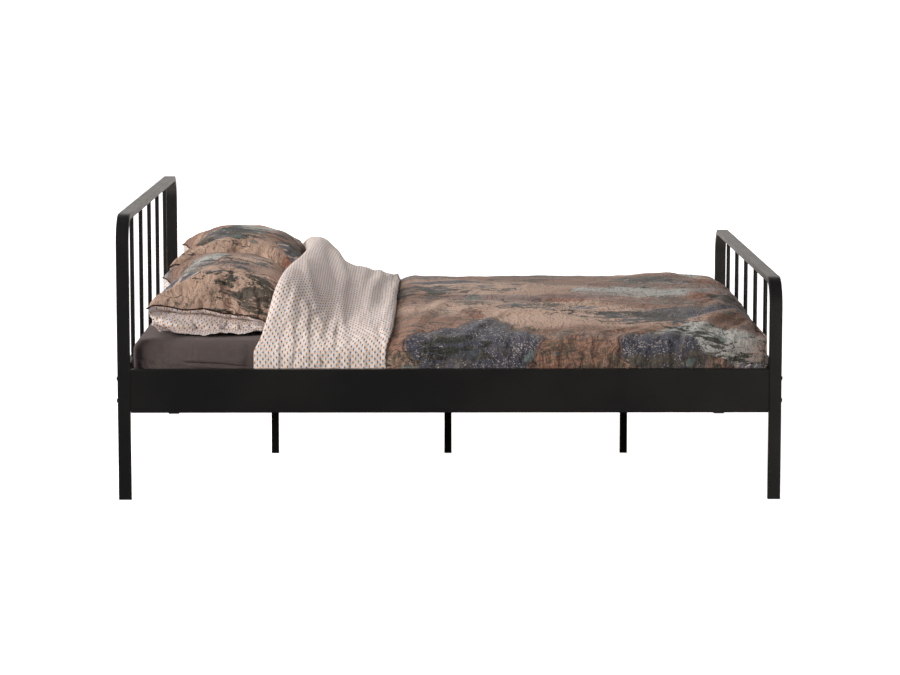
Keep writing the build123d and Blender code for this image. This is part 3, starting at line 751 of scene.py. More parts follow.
def upsample(a, iu, iv, n, m):
    """A coarse grid's values at every point of the fine one, smoothed."""
    t = np.array([np.interp(np.arange(n), iu, a[:, j]) for j in range(a.shape[1])]).T
    t = np.array([np.interp(np.arange(m), iv, t[i]) for i in range(n)])
    for _ in range(int(max(iu[1] - iu[0], 1))):
        p = np.pad(t, 1, mode="edge")
        t = 0.25 * (p[:-2, 1:-1] + p[2:, 1:-1]) + 0.5 * p[1:-1, 1:-1]
        p = np.pad(t, 1, mode="edge")
        t = 0.25 * (p[1:-1, :-2] + p[1:-1, 2:]) + 0.5 * p[1:-1, 1:-1]
    return t


def finer(a, k, axis):
    """k times as many rows along an axis, on a smooth curve through the given ones."""
    a = np.moveaxis(np.asarray(a, float), axis, 0)
    n = len(a)
    t = np.linspace(0, n - 1, (n - 1) * k + 1)
    i = np.clip(t.astype(int), 0, n - 2)
    f = (t - i).reshape((-1,) + (1,) * (a.ndim - 1))
    p0, p1, p2, p3 = a[np.maximum(i - 1, 0)], a[i], a[i + 1], a[np.minimum(i + 2, n - 1)]
    r = 0.5 * (2 * p1 + (p2 - p0) * f + (2 * p0 - 5 * p1 + 4 * p2 - p3) * f ** 2 + (3 * p1 - p0 - 3 * p2 + p3) * f ** 3)
    return np.moveaxis(r, 0, axis)


def rim_rows(a, k, share=0.17):
    """Keeps all of k times refined columns near both long edges, and every third one between."""
    m = a.shape[1]
    j = np.arange(m)
    keep = (j < share * m) | (j > (1 - share) * (m - 1)) | (j % k == 0)
    return a[:, keep]


def side_clip(P):
    """Tucked cloth stays inside the rail; above the rail it may lie out over its edge."""
    y_most = 904 + 10 * sstep(P[..., 2], 419, 431)
    P[..., 1] = np.clip(P[..., 1], -y_most, y_most)


def folds(P, levels, gu, gv, pin, seed, lo=-8, hi=12):
    """Folds of the cover from coarse to fine. levels: (grid step, share of gu, share of gv, rounds, bend, hold)."""
    n, m = P.shape[:2]
    total = np.zeros((n, m))
    N0 = normals_of(P)
    for k, (st, su, sv, rounds, bend, hold) in enumerate(levels):
        iu = np.unique(np.append(np.arange(0, n, st), n - 1))
        iv = np.unique(np.append(np.arange(0, m, st), m - 1))
        g = np.ix_(iu, iv)
        Q = (P + N0 * total[..., None])[g]
        d = grow(Q, gu[g] * su, gv[g] * sv, rounds, bend, hold, seed + 13 * k, 0.9 * st, pin[g], (38 * st, 38 * st))
        total = total + (upsample(d, iu, iv, n, m) if st > 1 else d)
        total = np.clip(total, lo, hi) * (1 - pin)
    return total


# ---------------------------------------------------------------- bedding shapes (mm)

W_OUT = 903.0      # outer half width of the tucked duvet
R_ED = 50.0        # roll of the sheet over the mattress edge
Z_TUCK = 408.0


def side(r, q=0.10, p=4.0):
    return np.maximum(1 - np.clip(np.abs(r), 0, 1) ** p, 0) ** q


def body_height(x, y):
    """Top of the spread duvet before its sides drop."""
    z = 583 - 40 * (y / 700.0) ** 2
    z = z - 20 * sstep(-x, 110, 215)
    z = z + 13 * np.exp(-((x - 745) / 110.0) ** 2) * np.exp(-((y - 430) / 330.0) ** 2)
    z = z - 8 * sstep(x, 800, 930)
    return z


def body_outer(x, y):
    sy = side(y / W_OUT)
    rx = np.clip((x - 775) / (1003 - 775.0), 0, 1)
    sx = side(rx, 0.15, 3.0)
    k = 3.0
    s = (np.maximum(sy, 1e-3) ** -k + np.maximum(sx, 1e-3) ** -k - 1) ** (-1 / k)
    return Z_TUCK + (body_height(x, y) - Z_TUCK) * s


EDGE_Y = [-903, -899, -890, -872, -850, -805, -760, -690, -600, -500, -380, -250, -80, 100, 280, 400, 465, 600, 730, 800, 860, 890, 903]
EDGE_X = [-618, -617, -609, -594, -582, -569, -558, -548, -541, -532, -521, -509, -499, -492, -497, -506, -509, -520, -545, -562, -582, -604, -618]
EDGE_Z = [500, 502, 514, 545, 588, 642, 679, 700, 707, 709, 710, 710, 710, 711, 709, 708, 709, 699, 668, 640, 590, 520, 500]
HEM_Y = [-903, -860, -700, -400, 0, 460, 700, 860, 903]
HEM_X = [-200, -188, -178, -171, -170, -172, -181, -191, -200]
MID_Y = [-903, -874, -835, -781, -691, -591, -496, -400, -280, -100, 0, 200, 400, 600, 781, 835, 874, 903]
MID_Z = [500, 517, 531, 550, 567, 583, 599, 616, 631, 641, 644, 632, 605, 574, 546, 529, 515, 500]
END_Z = [500, 526, 538, 546, 558, 567, 575, 583, 591, 597, 598, 593, 580, 562, 543, 536, 524, 500]
LEE_Y = [-903, -500, 0, 465, 903]
LEE_0 = [-600, -515, -480, -462, -560]
LEE_1 = [-330, -300, -308, -318, -330]


def band_height(t, y):
    """Top of the turned-down band, t from 0 at its fold to 1 at its hem."""
    x = band_x(t, y)
    flat = spl(MID_Y, MID_Z, y) + (spl(MID_Y, END_Z, y) - spl(MID_Y, MID_Z, y)) * sstep(t, 0.5, 1.0)
    x0, x1 = spl(LEE_Y, LEE_0, y), spl(LEE_Y, LEE_1, y)
    f = 1 - sstep((x - x0) / (x1 - x0), 0.0, 1.0)
    return flat + (spl(EDGE_Y, EDGE_Z, y) - flat) * f


def band_x(t, y):
    xe = spl(EDGE_Y, EDGE_X, y)
    xh = spl(HEM_Y, HEM_X, y)
    return xe + (xh - xe) * t


def cross_y(n, z_of_y):
    """n positions in y, evenly spaced along a cross-section, with the tucked drops."""
    # closer and closer towards the edge, where the drop is all but upright
    e = np.concatenate([[0.0], np.geomspace(1e-15, 0.02, 420), np.linspace(0.02, 1.0, 1500)[1:]])
    y = W_OUT * (1 - e)
    y = np.concatenate([-y, y[::-1][1:]])
    z = z_of_y(y)
    s = np.concatenate([[0], np.cumsum(np.hypot(np.diff(y), np.diff(z)))])
    t = np.linspace(0, 1, 2001)
    dens = 1 + 1.25 * (1 - sstep(t, 0.085, 0.15)) + 1.25 * sstep(t, 0.85, 0.915)
    c = np.concatenate([[0], np.cumsum(0.5 * (dens[1:] + dens[:-1]))])
    u = np.interp(np.linspace(0, c[-1], n), c, t) * s[-1]
    return np.interp(u, s, y), u - s[-1] / 2


def band_grid(n, m):
    ys, v = cross_y(m, lambda y: Z_TUCK + (band_height(0.45, y) - Z_TUCK) * side(y / W_OUT))
    t = np.concatenate([[0, 0.003, 0.009, 0.018, 0.03, 0.045, 0.062, 0.08, 0.10], np.linspace(0.12, 0.93, n - 17),
                        [0.945, 0.958, 0.969, 0.978, 0.986, 0.992, 0.997, 1.0]])
    T, Y = np.meshgrid(t, ys, indexing="ij")
    X = band_x(T, Y)
    Z = Z_TUCK + (band_height(T, Y) - Z_TUCK) * side(Y / W_OUT)
    P = np.stack([X, Y, Z], -1)
    au, av = arc(P, 0), arc(P, 1)
    U = au - au[-1][None, :]
    V = av - av[:, m // 2][:, None]
    return P, T, U, V


def body_grid(n, m):
    ys, v = cross_y(m, lambda y: body_outer(np.full_like(y, 200.0), y))
    th = np.linspace(0, 1, 6001)
    xf = -270 + (1003 + 270) * np.sin(th * np.pi / 2) ** 1.0
    zf = body_outer(xf, np.zeros_like(xf))
    s = np.concatenate([[0], np.cumsum(np.hypot(np.diff(xf), np.diff(zf)))])
    u = np.linspace(0, s[-1], n)
    xs = np.interp(u, s, xf)
    X, Y = np.meshgrid(xs, ys, indexing="ij")
    P = np.stack([X, Y, body_outer(X, Y)], -1)
    return P, np.repeat(u[:, None], m, 1), np.repeat(v[None, :], n, 0)


def lay_pad(name, P, h, rho, uv, mats, bottom_mat, uv_bot=None):
    """Closes an outer surface into a pad, h its half thickness and rho its rim roundness."""
    N = normals_of(P)
    top = P - N * (h * (1 - rho))[..., None]
    bot = P - N * (h * (1 + rho))[..., None]
    return pad_from_grids(name, top * MM, bot * MM, uv, mats, bottom_mat, uv_bot)


def rim(d, w):
    t = np.clip(d / w, 0, 1)
    return np.sqrt(np.maximum(1 - (1 - t) ** 2, 0))


def sheet_z(y):
    """Top of the made-up mattress across the bed."""
    a = np.abs(y)
    t = np.clip(a - (894.5 - R_ED), 0, R_ED)
    return 498.5 - R_ED + np.sqrt(np.maximum(R_ED ** 2 - t ** 2, 0))


# duvet body
nb, mb = ((215, 300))
P, U, V = body_grid(nb, mb)
X, Y, Z = P[..., 0], P[..., 1], P[..., 2]
ay = np.abs(Y)
ftop = 1 - sstep(ay, 800, 893)
ffoot = 1 - sstep(X, 930, 992)
N = normals_of(P)
puff = 8 * fbm(X / 330, Y / 300, 5, 2) * ftop * ffoot
for (x0, y0, ang, amp, wid, ln) in [(900, -600, 62, 11, 28, 300), (862, -640, 60, -6, 18, 260), (820, -690, 56, 7, 22, 240), (930, -250, 78, 9, 34, 300),
                                    (886, -330, 76, -5, 20, 260), (948, -640, 70, -5, 13, 200), (940, 200, 95, 5, 34, 300),
                                    (700, -740, 40, 5, 20, 200), (880, 560, 110, 2, 40, 280), (560, -770, 28, 5, 17, 190),
                                    (300, -560, 15, 5, 24, 260), (80, -300, -12, 5, 26, 240), (120, -700, 70, 5, 17, 210),
                                    (-60, -560, 80, 5, 20, 260), (420, -380, -20, 4, 24, 260)]:
    c, s_ = math.cos(math.radians(ang)), math.sin(math.radians(ang))
    a = (X - x0) * c + (Y - y0) * s_
    b = -(X - x0) * s_ + (Y - y0) * c + 12 * np.sin(a / 90.0)
    puff = puff + amp * np.exp(-(b / wid) ** 2) * np.exp(-(a / ln) ** 2) * ffoot
P = P + N * puff[..., None]
# slack of the cover: more along the tucks and the foot end
near_tuck = sstep(ay, 700, 890)
near_foot = sstep(X, 700, 960)
n1 = 0.5 + 0.9 * fbm(X / 260, Y / 240, 61, 2)
gu = 0.010 * n1 * ftop + 0.034 * near_tuck * (0.6 + 0.8 * fbm(X / 180, Y * 0, 63, 2)) + 0.012 * near_foot
gv = 0.008 * (1 - n1) * ftop + 0.010 * near_tuck + 0.018 * near_foot
pin = np.zeros(P.shape[:2])
pin[:2] = pin[-2:] = 1
pin[:, :3] = pin[:, -3:] = 1
LV = [(6, 0.9, 0.9, 160, 0.06, 0.004), (3, 0.8, 0.8, 140, 0.06, 0.004)] + [(1, 0.7, 0.7, 90, 0.06, 0.006)]
dn = folds(P, LV, gu, gv, pin, 71)
side_lim = np.where(ay > 880, np.clip(dn - 2.6, -5.5, 0.4), dn)
dn = dn * (1 - sstep(ay, 868, 884)) + side_lim * sstep(ay, 868, 884)
foot_lim = sstep(X, 985, 996)
dn = dn * (1 - foot_lim) + np.clip(dn - 2.0, -4.5, 0.5) * foot_lim
N = normals_of(P)
P = P + N * dn[..., None]
P, U, V, X, Y = (finer(q, 2, 0) for q in (P, U, V, X, Y))
ay = np.abs(Y)
ftop = 1 - sstep(ay, 800, 893)
ffoot = 1 - sstep(X, 930, 992)
# creases that climb from both rails, each with its own lean, length and depth
S_N, S_F = V - V[:, :1], V[:, -1:] - V
cre = np.zeros(X.shape)
rs = np.random.RandomState(11)
for S_, lo_x in ((S_N, -150.0), (S_F, -150.0)):
    xq = lo_x
    while xq < 975:
        lean, run = rs.uniform(-0.75, 0.75), rs.choice([26, 40, 60, 95, 150, 210], p=[.24, .24, .2, .16, .1, .06])
        dep, wd = rs.uniform(2.2, 4.6) * (1 if rs.rand() < 0.62 else -0.8), rs.uniform(4.0, 7.5) + run / 60.0
        b = X - (xq + lean * np.clip(S_ - 10, 0, 400)) - 2.0 * np.sin(S_ / 19.0 + xq)
        cre = cre + dep * np.exp(-(b / wd) ** 2) * sstep(S_, 2, 16) * (1 - sstep(S_, run * 0.5, run + 12)) * ffoot
        xq += rs.uniform(15, 46)
N = normals_of(P)
P = P + N * (cre - 1.5 * sstep(ay, 850, 895) * ffoot)[..., None]
side_clip(P)
P[..., 0] = np.minimum(P[..., 0], 1004)
# nothing sinks into the mattress, and the covered end lies flatter and narrower
on_top = np.abs(P[..., 1]) < 894
P[..., 2] = np.where(on_top, np.maximum(P[..., 2], sheet_z(P[..., 1]) + 5), P[..., 2])
cov = 1 - sstep(P[..., 0], -205, -186)
P[..., 1] = np.where(np.abs(P[..., 1]) > 897.0, P[..., 1] * (1 - cov) + np.sign(P[..., 1]) * 897.0 * cov, P[..., 1])
P[..., 2] = P[..., 2] - cov * 12 * sstep(P[..., 2], 470, 520)
N = normals_of(P)
hh = np.clip((P[..., 2] - 502) / 2, 3.0, 60) * ftop + 3.0 * (1 - ftop)
hh = hh * ffoot + 3.0 * (1 - ffoot)
hh = np.clip(hh, 1.6, 60)
n_, m_ = X.shape
ii = np.arange(n_)[:, None] * np.ones((1, m_))
jj = np.arange(m_)[None, :] * np.ones((n_, 1))
sx_, sp = 1400.0 / n_, 1100.0 / m_
rho = rim(ii * sx_, 18) * rim((n_ - 1 - ii) * sx_, 6) * rim(jj * sp, 6) * rim((m_ - 1 - jj) * sp, 6)
uvb = np.stack([U * MM, V * MM + 2.0], -1)
low = np.ones((n_ - 1, m_ - 1), int)
low[-(n_ // 12):] = 0
low[:, :m_ // 14] = low[:, -(m_ // 14):] = 0
body = lay_pad("duvet_body", P, hh, rho, uvb, [MATS["bedding_print"], MATS["bedding_reverse"]], low)
BODY_P = P

# duvet band
nt, mt = ((110, 330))
P, T, U, V = band_grid(nt, mt)
P0, N0 = P.copy(), normals_of(P)
X, Y, Z = P[..., 0], P[..., 1], P[..., 2]
ay = np.abs(Y)
ftop = 1 - sstep(ay, 800, 893)
N = normals_of(P)
soft_ = 5.0 * fbm(X / 240, Y / 260, 17, 2) * ftop * sstep(T, 0.05, 0.3)
# broad folds that run over the bed, at their x, with height, width and reach
for (xa, skew, amp, wid, y0, y1) in [(-330, -0.05, 7, 20, -900, 900), (-360, -0.04, -6, 15, -560, 900), (-262, 0.02, 6, 17, -700, 900),
                                     (-232, 0.03, -7, 11, -600, 900), (-210, 0.02, 5, 12, -760, 900), (-190, 0.01, -5, 7, -300, 900),
                                     (-420, -0.10, 5, 18, -820, -100), (-300, 0.04, -4, 12, -300, 900)]:
    b = X - xa - skew * (Y + 900) - 9 * np.sin(Y / 170.0 + xa)
    soft_ = soft_ + amp * np.exp(-(b / wid) ** 2) * sstep(Y, y0, y0 + 260) * (1 - sstep(Y, y1 - 120, y1)) * ftop * sstep(T, 0.06, 0.2)
# creases that climb from the rail, s being the run up the side
S_N, S_F = V - V[:, :1], V[:, -1:] - V
for (sv, xa, xb, s0, s1, amp, wid) in [
        (S_N, -541, -541, 0, 120, 2.6, 5), (S_N, -533, -536, 0, 90, -2.2, 4), (S_N, -493, -499, 8, 200, 2.4, 5), (S_N, -486, -490, 0, 150, -2.4, 4),
        (S_N, -447, -452, 0, 300, 2.8, 7), (S_N, -437, -440, 10, 260, -2.2, 6), (S_N, -371, -366, 50, 340, 2.4, 7), (S_N, -361, -354, 60, 300, -1.8, 6),
        (S_N, -413, -404, 0, 46, 6.0, 8), (S_N, -402, -396, 0, 40, -4.0, 6), (S_N, -216, -222, 24, 270, -4.2, 6), (S_N, -204, -209, 24, 250, 4.5, 7),
        (S_N, -271, -268, 0, 110, 2.6, 6), (S_N, -318, -322, 0, 90, 2.8, 6), (S_N, -310, -312, 0, 60, -2.4, 5), (S_N, -578, -572, 14, 150, 2.2, 6),
        (S_F, -560, -548, 0, 180, 2.6, 6), (S_F, -498, -505, 0, 240, 2.4, 6), (S_F, -430, -440, 0, 160, 3.0, 7), (S_F, -380, -372, 20, 300, 2.4, 7),
        (S_F, -300, -312, 0, 140, 3.0, 7), (S_F, -240, -236, 0, 260, -4.0, 7), (S_F, -226, -222, 0, 240, 3.6, 7)]:
    b = X - (xa + (xb - xa) * np.clip(sv / 200.0, 0, 2)) - 2.5 * np.sin(sv / 23.0 + xa)
    soft_ = soft_ + 0.45 * amp * np.exp(-(b / (0.9 * wid)) ** 2) * sstep(sv, s0 - 12, s0 + 14) * (1 - sstep(sv, s1 * 0.55, s1)) * (1 - 0.75 * (1 - sstep(sv, 0, 10)))
# a curved tuck low on each side, by the rail
for sv in (S_N, S_F):
    tq = np.clip((X + 468) / 90.0, 0, 1)
    bq = sv - 4 - 42 * (1 - tq) ** 1.6
    on = sstep(X, -482, -456) * (1 - sstep(X, -388, -366))
    soft_ = soft_ + on * (6.0 * np.exp(-(bq / 5.0) ** 2) - 4.0 * np.exp(-((bq - 10) / 5.0) ** 2))
# small gathers along the hem seam
gath = np.sin(2 * np.pi * (V / 15.0 + 0.6 * fbm(V / 60, U / 40, 19, 2))) * np.exp(-((U + 12) / 12.0) ** 2)
soft_ = soft_ + 0.9 * gath
P = P + N * soft_[..., None]
near_tuck = sstep(ay, 560, 880)
n1 = 0.5 + 0.9 * fbm(X / 170, Y / 200, 81, 2)
gu = 0.012 * n1 + 0.010 * near_tuck * sstep(T, 0.03, 0.2) + 0.011 * sstep(T, 0.7, 0.95)
gv = 0.006 * (1 - n1) + 0.008 * near_tuck
pin = np.zeros(P.shape[:2])
pin[:4] = 1
pin[4:12] = np.linspace(0.9, 0.1, 8)[:, None]
pin[:, :3] = pin[:, -3:] = 1
LV = [(5, 1.0, 0.5, 160, 0.06, 0.004), (3, 0.9, 0.6, 140, 0.06, 0.004)] + [(1, 0.6, 0.6, 90, 0.06, 0.006)]
dn = folds(P, LV, gu, gv, pin, 91)
dn = dn * (1 - sstep(ay, 868, 884)) + np.clip(dn - 2.0, -5.0, 0.6) * sstep(ay, 868, 884)
N = normals_of(P)
P = P + N * dn[..., None]
side_clip(P)
on_top = np.abs(P[..., 1]) < 894
P[..., 2] = np.where(on_top, np.maximum(P[..., 2], sheet_z(P[..., 1]) + 5), P[..., 2])
hh = (27 - 15 * sstep(T, 0.1, 0.8)) * ftop + 2.2 * (1 - ftop)
dl = (P[..., 0] - P[0, :, 0][None, :])
dr = (P[-1, :, 0][None, :] - P[..., 0])
jj = np.arange(P.shape[1])[None, :] * np.ones((P.shape[0], 1))
sp = 1150.0 / P.shape[1]
rho = rim(dl, 24 * ftop + 4) * rim(dr, 12 * ftop + 3) * rim(jj * sp, 6) * rim((P.shape[1] - 1 - jj) * sp, 6)
# running lengths over the upper and the lower face, the rolled fold included
ut, ul = (arc(P0 - N0 * (hh * q)[..., None], 0) for q in (1 - rho, 1 + rho))
uvt, uvl = (np.stack([(q - q[-1][None, :]) * MM + 3.0, V * MM], -1) for q in (ut, ul))
low = np.ones((P.shape[0] - 1, P.shape[1] - 1), int)
low[:P.shape[0] // 4] = 0
band = lay_pad("duvet_turndown", P, hh, rho, uvt, [MATS["bedding_reverse"], MATS["bedding_print"]], low, uvl)
BAND_B = P - normals_of(P) * (hh * (1 + rho))[..., None]

for o in (body, band):
    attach(o, SET)
    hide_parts("duvet")

# ---------------------------------------------------------------- rounded slab surfaces: sheet and mattress

def slab_ring(hx, hy, r, n):
    """n points round a rounded rectangle, evenly spaced, with outward normals and running length."""
    r = max(min(r, hx - 1, hy - 1), 1.0)
    segs = []
    for cx, cy, a0 in ((hx - r, hy - r, 0), (-(hx - r), hy - r, 90), (-(hx - r), -(hy - r), 180), (hx - r, -(hy - r), 270)):
        a = np.radians(np.linspace(a0, a0 + 90, 25))
        segs.append(np.stack([cx + r * np.cos(a), cy + r * np.sin(a)], -1))
    pts = np.concatenate(segs + [segs[0][:1]])
    s = np.concatenate([[0], np.cumsum(np.linalg.norm(np.diff(pts, axis=0), axis=1))])
    u = np.linspace(0, s[-1], n, endpoint=False)
    return np.stack([np.interp(u, s, pts[:, 0]), np.interp(u, s, pts[:, 1])], -1), u


def slab_rings(profile, hx, hy, r_plan, n):
    """profile is a list of (inset, z). Returns a (rings, n, 3) grid."""
    rings = []
    for d, z in profile:
        p, u = slab_ring(hx - d, hy - d, max(r_plan - d, 6.0), n)
        rings.append(np.column_stack([p, np.full(n, z)]))
    return np.array(rings), u


def wrap_mesh(name, G, mats, close_lo=False, close_hi=False, mat_rows=None):
    k, n, _ = G.shape
    verts = list(G.reshape(-1, 3))
    faces, fm = [], []
    for i in range(k - 1):
        for j in range(n):
            j2 = (j + 1) % n
            faces.append((i * n + j, i * n + j2, (i + 1) * n + j2, (i + 1) * n + j))
            fm.append(0 if mat_rows is None else mat_rows[i])
    for flag, row, rev in ((close_lo, 0, True), (close_hi, k - 1, False)):
        if flag:
            verts.append(G[row].mean(0))
            c = len(verts) - 1
            for j in range(n):
                a, b = row * n + j, row * n + (j + 1) % n
                faces.append((b, a, c) if rev else (a, b, c))
                fm.append(0)
    return make_mesh(name, np.array(verts) * MM, faces, None, mats, fm)


# fitted sheet
n_ring = 1700
prof = [(0.0, z) for z in list(np.linspace(330, 400, 8)) + list(np.linspace(404, 446, 18))]
prof += [(R_ED * (1 - math.cos(a)), 448.5 + R_ED * math.sin(a)) for a in np.radians(np.linspace(5, 90, 10))]
prof += [(R_ED + d, 498.5) for d in (14, 30, 50, 75, 100, 130, 160, 190, 225, 260, 300, 345, 390, 440, 490, 545, 600, 660, 720, 790, 845)]
G, u_ring = slab_rings(prof, 996.5, 894.5, 42.0, n_ring)
k, n = G.shape[:2]
C = G.copy()
out = np.zeros_like(G)
ctr = np.clip(G[..., :2], [-900, -800], [900, 800])
dxy = G[..., :2] - ctr
out[..., :2] = dxy / np.maximum(np.linalg.norm(dxy, axis=2, keepdims=True), 1e-9)
zt = sstep(G[..., 2], 455, 498)
nrm = out * (1 - zt[..., None])
nrm[..., 2] = zt
x, y, z = G[..., 0], G[..., 1], G[..., 2]
ur = u_ring[None, :] * np.ones((k, 1))
side_w = 1 - sstep(z, 480, 498.4)
head_w = sstep(-x, 560, 640)
# long tension folds on the sides, and small gathers low down
f1 = 9.0 * fbm(ur / 260 + 0.5 * fbm(ur / 120, z / 90, 7, 2), z / 40 + ur / 900, 41, 3) * side_w
f2 = 5.0 * fbm(ur / 90 + 0.9 * fbm(ur / 140, z / 60, 2), (z + 0.30 * ur) / 34, 43, 2) * side_w * (1 - sstep(z, 430, 480))
dcorner = np.hypot(np.abs(x) - 960, np.abs(y) - 860)
f3 = 2.5 * np.sin((z - 400) / 9.0 + ur / 60) * np.exp(-(dcorner / 130) ** 2) * side_w * 0.5
ftop_s = 1.6 * fbm(x / 160, y / 260, 47, 3) * zt
disp = (3.4 + f1 + f2 + f3) * side_w * (0.25 + 0.75 * head_w) + ftop_s * 1.2
# a low fold with a lip under it, and short slanting creases by the corner, on both sides
for sgn in (-1, 1):
    on = (np.sign(y) == sgn) * side_w
    calm = on * sstep(-x, 865, 905) * (1 - sstep(z, 440, 454))
    disp = disp * (1 - calm) + 4.0 * calm
    zc = 431 - 13 * (x + 790) / 172.0 + 1.5 * np.sin(x / 31.0)
    reach = sstep(x, -850, -780) * (1 - sstep(x, -600, -560))
    disp = disp + on * reach * (3.0 * np.exp(-((z - zc) / 20.0) ** 2) - 13.0 * np.exp(-((z - zc) / 3.2) ** 2) + 6.0 * np.exp(-((z - zc + 8) / 5.0) ** 2) + 5.0 * np.exp(-((z - zc - 9) / 6.0) ** 2))
    for (x0, z0, x1, z1, dep, wd) in ((-981, 441, -958, 414, 4.5, 4.0), (-968, 444, -944, 412, -5.5, 4.0), (-958, 436, -934, 411, 4.5, 4.0), (-948, 433, -924, 411, -5.0, 3.6),
                                      (-936, 436, -908, 410, -4.0, 4.0), (-914, 440, -880, 410, 3.0, 5.0), (-890, 452, -800, 424, -2.6, 6.0),
                                      (-700, 470, -610, 452, 2.6, 8.0), (-690, 458, -600, 442, -2.4, 7.0)):
        ln_ = math.hypot(x1 - x0, z1 - z0)
        al = ((x - x0) * (x1 - x0) + (z - z0) * (z1 - z0)) / ln_
        ac = ((x - x0) * (z1 - z0) - (z - z0) * (x1 - x0)) / ln_
        disp = disp + on * dep * np.exp(-(ac / wd) ** 2) * sstep(al, -8, 10) * (1 - sstep(al, ln_ - 6, ln_ + 12))
# the cloth stands a little proud of the rounded top edge at the head end
proud = sstep(-x, 880, 950) * np.exp(-((z - 479) / 17.0) ** 2)
disp = disp + 16.0 * proud
lim = 1.0 + 7.5 * (1 - sstep(x, -668, -634)) + 9.0 * proud
disp = np.clip(disp, -0.6, lim)
G = G + nrm * disp[..., None]
sheet = wrap_mesh("fitted_sheet_cloth", G, [MATS["sheet_cotton"]], close_hi=True)
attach(sheet, SET)
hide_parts("fitted_sheet")

# mattress
prof = [(845, 298.0), (700, 298.0), (550, 298.0), (420, 298.0), (320, 298.0), (240, 298.0), (180, 298.0), (130, 298.0), (90, 298.0), (62, 298.0), (45, 298.0)]
prof += [(40 * (1 - math.sin(a)), 338 - 40 * math.cos(a)) for a in np.radians(np.linspace(8, 82, 9))]
prof += [(0.0, z) for z in np.linspace(342, 444, 10)]
prof += [(49 * (1 - math.cos(a)), 447 + 49 * math.sin(a)) for a in np.radians(np.linspace(8, 82, 9))]
prof += [(54, 496.0), (90, 496.0), (200, 496.0), (400, 496.0), (700, 496.0), (845, 496.0)]
n_m = 640
prof_d = []
for (d0, z0), (d1, z1) in zip(prof[:-1], prof[1:]):
    steps = max(1, int(math.hypot(d1 - d0, z1 - z0) / 24))
    for q in range(steps):
        prof_d.append((d0 + (d1 - d0) * q / steps, z0 + (z1 - z0) * q / steps))
prof_d.append(prof[-1])
G, u_ring = slab_rings(prof_d, 995.0, 893.0, 41.0, n_m)
x, y, z = G[..., 0], G[..., 1], G[..., 2]
under = 1 - sstep(z, 298.0, 300.0)
quilt = np.abs(np.sin(np.pi * (x + y) / 150.0)) ** 0.5 * np.abs(np.sin(np.pi * (x - y) / 150.0)) ** 0.5
G[..., 2] += under * (1 - quilt) * 5.0
sidew = sstep(z, 336, 346) * (1 - sstep(z, 450, 460))
channel = np.exp(-((z - 397) / 5.0) ** 2)
ctr = np.clip(G[..., :2], [-925, -823], [925, 823])
dxy = G[..., :2] - ctr
dxy = dxy / np.maximum(np.linalg.norm(dxy, axis=2, keepdims=True), 1e-9)
G[..., :2] -= dxy * (sidew * (1.0 + 2.5 * channel))[..., None]
mattress = wrap_mesh("mattress_pad", G, [MATS["mattress_ticking"]], close_lo=True, close_hi=True)
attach(mattress, SET)
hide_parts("mattress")

# tape edge round the mattress' lower rim
def ring_tube(name, pts, radius, mat, sides=8, closed=True, squash=1.0):
    P = np.asarray(pts, float)
    n = len(P)
    if closed:
        tan = np.roll(P, -1, 0) - np.roll(P, 1, 0)
    else:
        tan = np.gradient(P, axis=0)
    tan /= np.maximum(np.linalg.norm(tan, axis=1, keepdims=True), 1e-12)
    up = np.array([0, 0, 1.0])
    a = np.cross(tan, up)
    a /= np.maximum(np.linalg.norm(a, axis=1, keepdims=True), 1e-9)
    b = np.cross(a, tan)
    ang = np.linspace(0, 2 * np.pi, sides, endpoint=False)
    V = P[:, None, :] + radius * (np.cos(ang)[None, :, None] * a[:, None, :] + squash * np.sin(ang)[None, :, None] * b[:, None, :])
    verts = V.reshape(-1, 3)
    faces = []
    rng = n if closed else n - 1
    for i in range(rng):
        i2 = (i + 1) % n
        for j in range(sides):
            j2 = (j + 1) % sides
            faces.append((i * sides + j, i * sides + j2, i2 * sides + j2, i2 * sides + j))
    if not closed:
        faces.append(tuple(range(sides))[::-1])
        faces.append(tuple((n - 1) * sides + j for j in range(sides)))
    return make_mesh(name, verts, faces, None, [mat])


for nm, d, z in (("mattress_tape_lower", 6.0, 311.0),):
    p, _ = slab_ring(995 - 6.5, 893 - 6.5, 36, 480)
    t = ring_tube(nm, np.column_stack([p, np.full(len(p), 316.0)]) * MM, 0.0035, MATS["mattress_ticking"], 8)
    t.parent = mattress

# ---------------------------------------------------------------- pillows

def pillow_flat(nx, ny):
    """Two sewn layers of a flat case, 0.60 by 0.70 m, sharing their seam."""
    lx, ly = 0.60, 0.70
    xs = np.linspace(-lx / 2, lx / 2, nx)
    ys = np.linspace(-ly / 2, ly / 2, ny)
    X, Y = np.meshgrid(xs, ys, indexing="ij")
    return X, Y


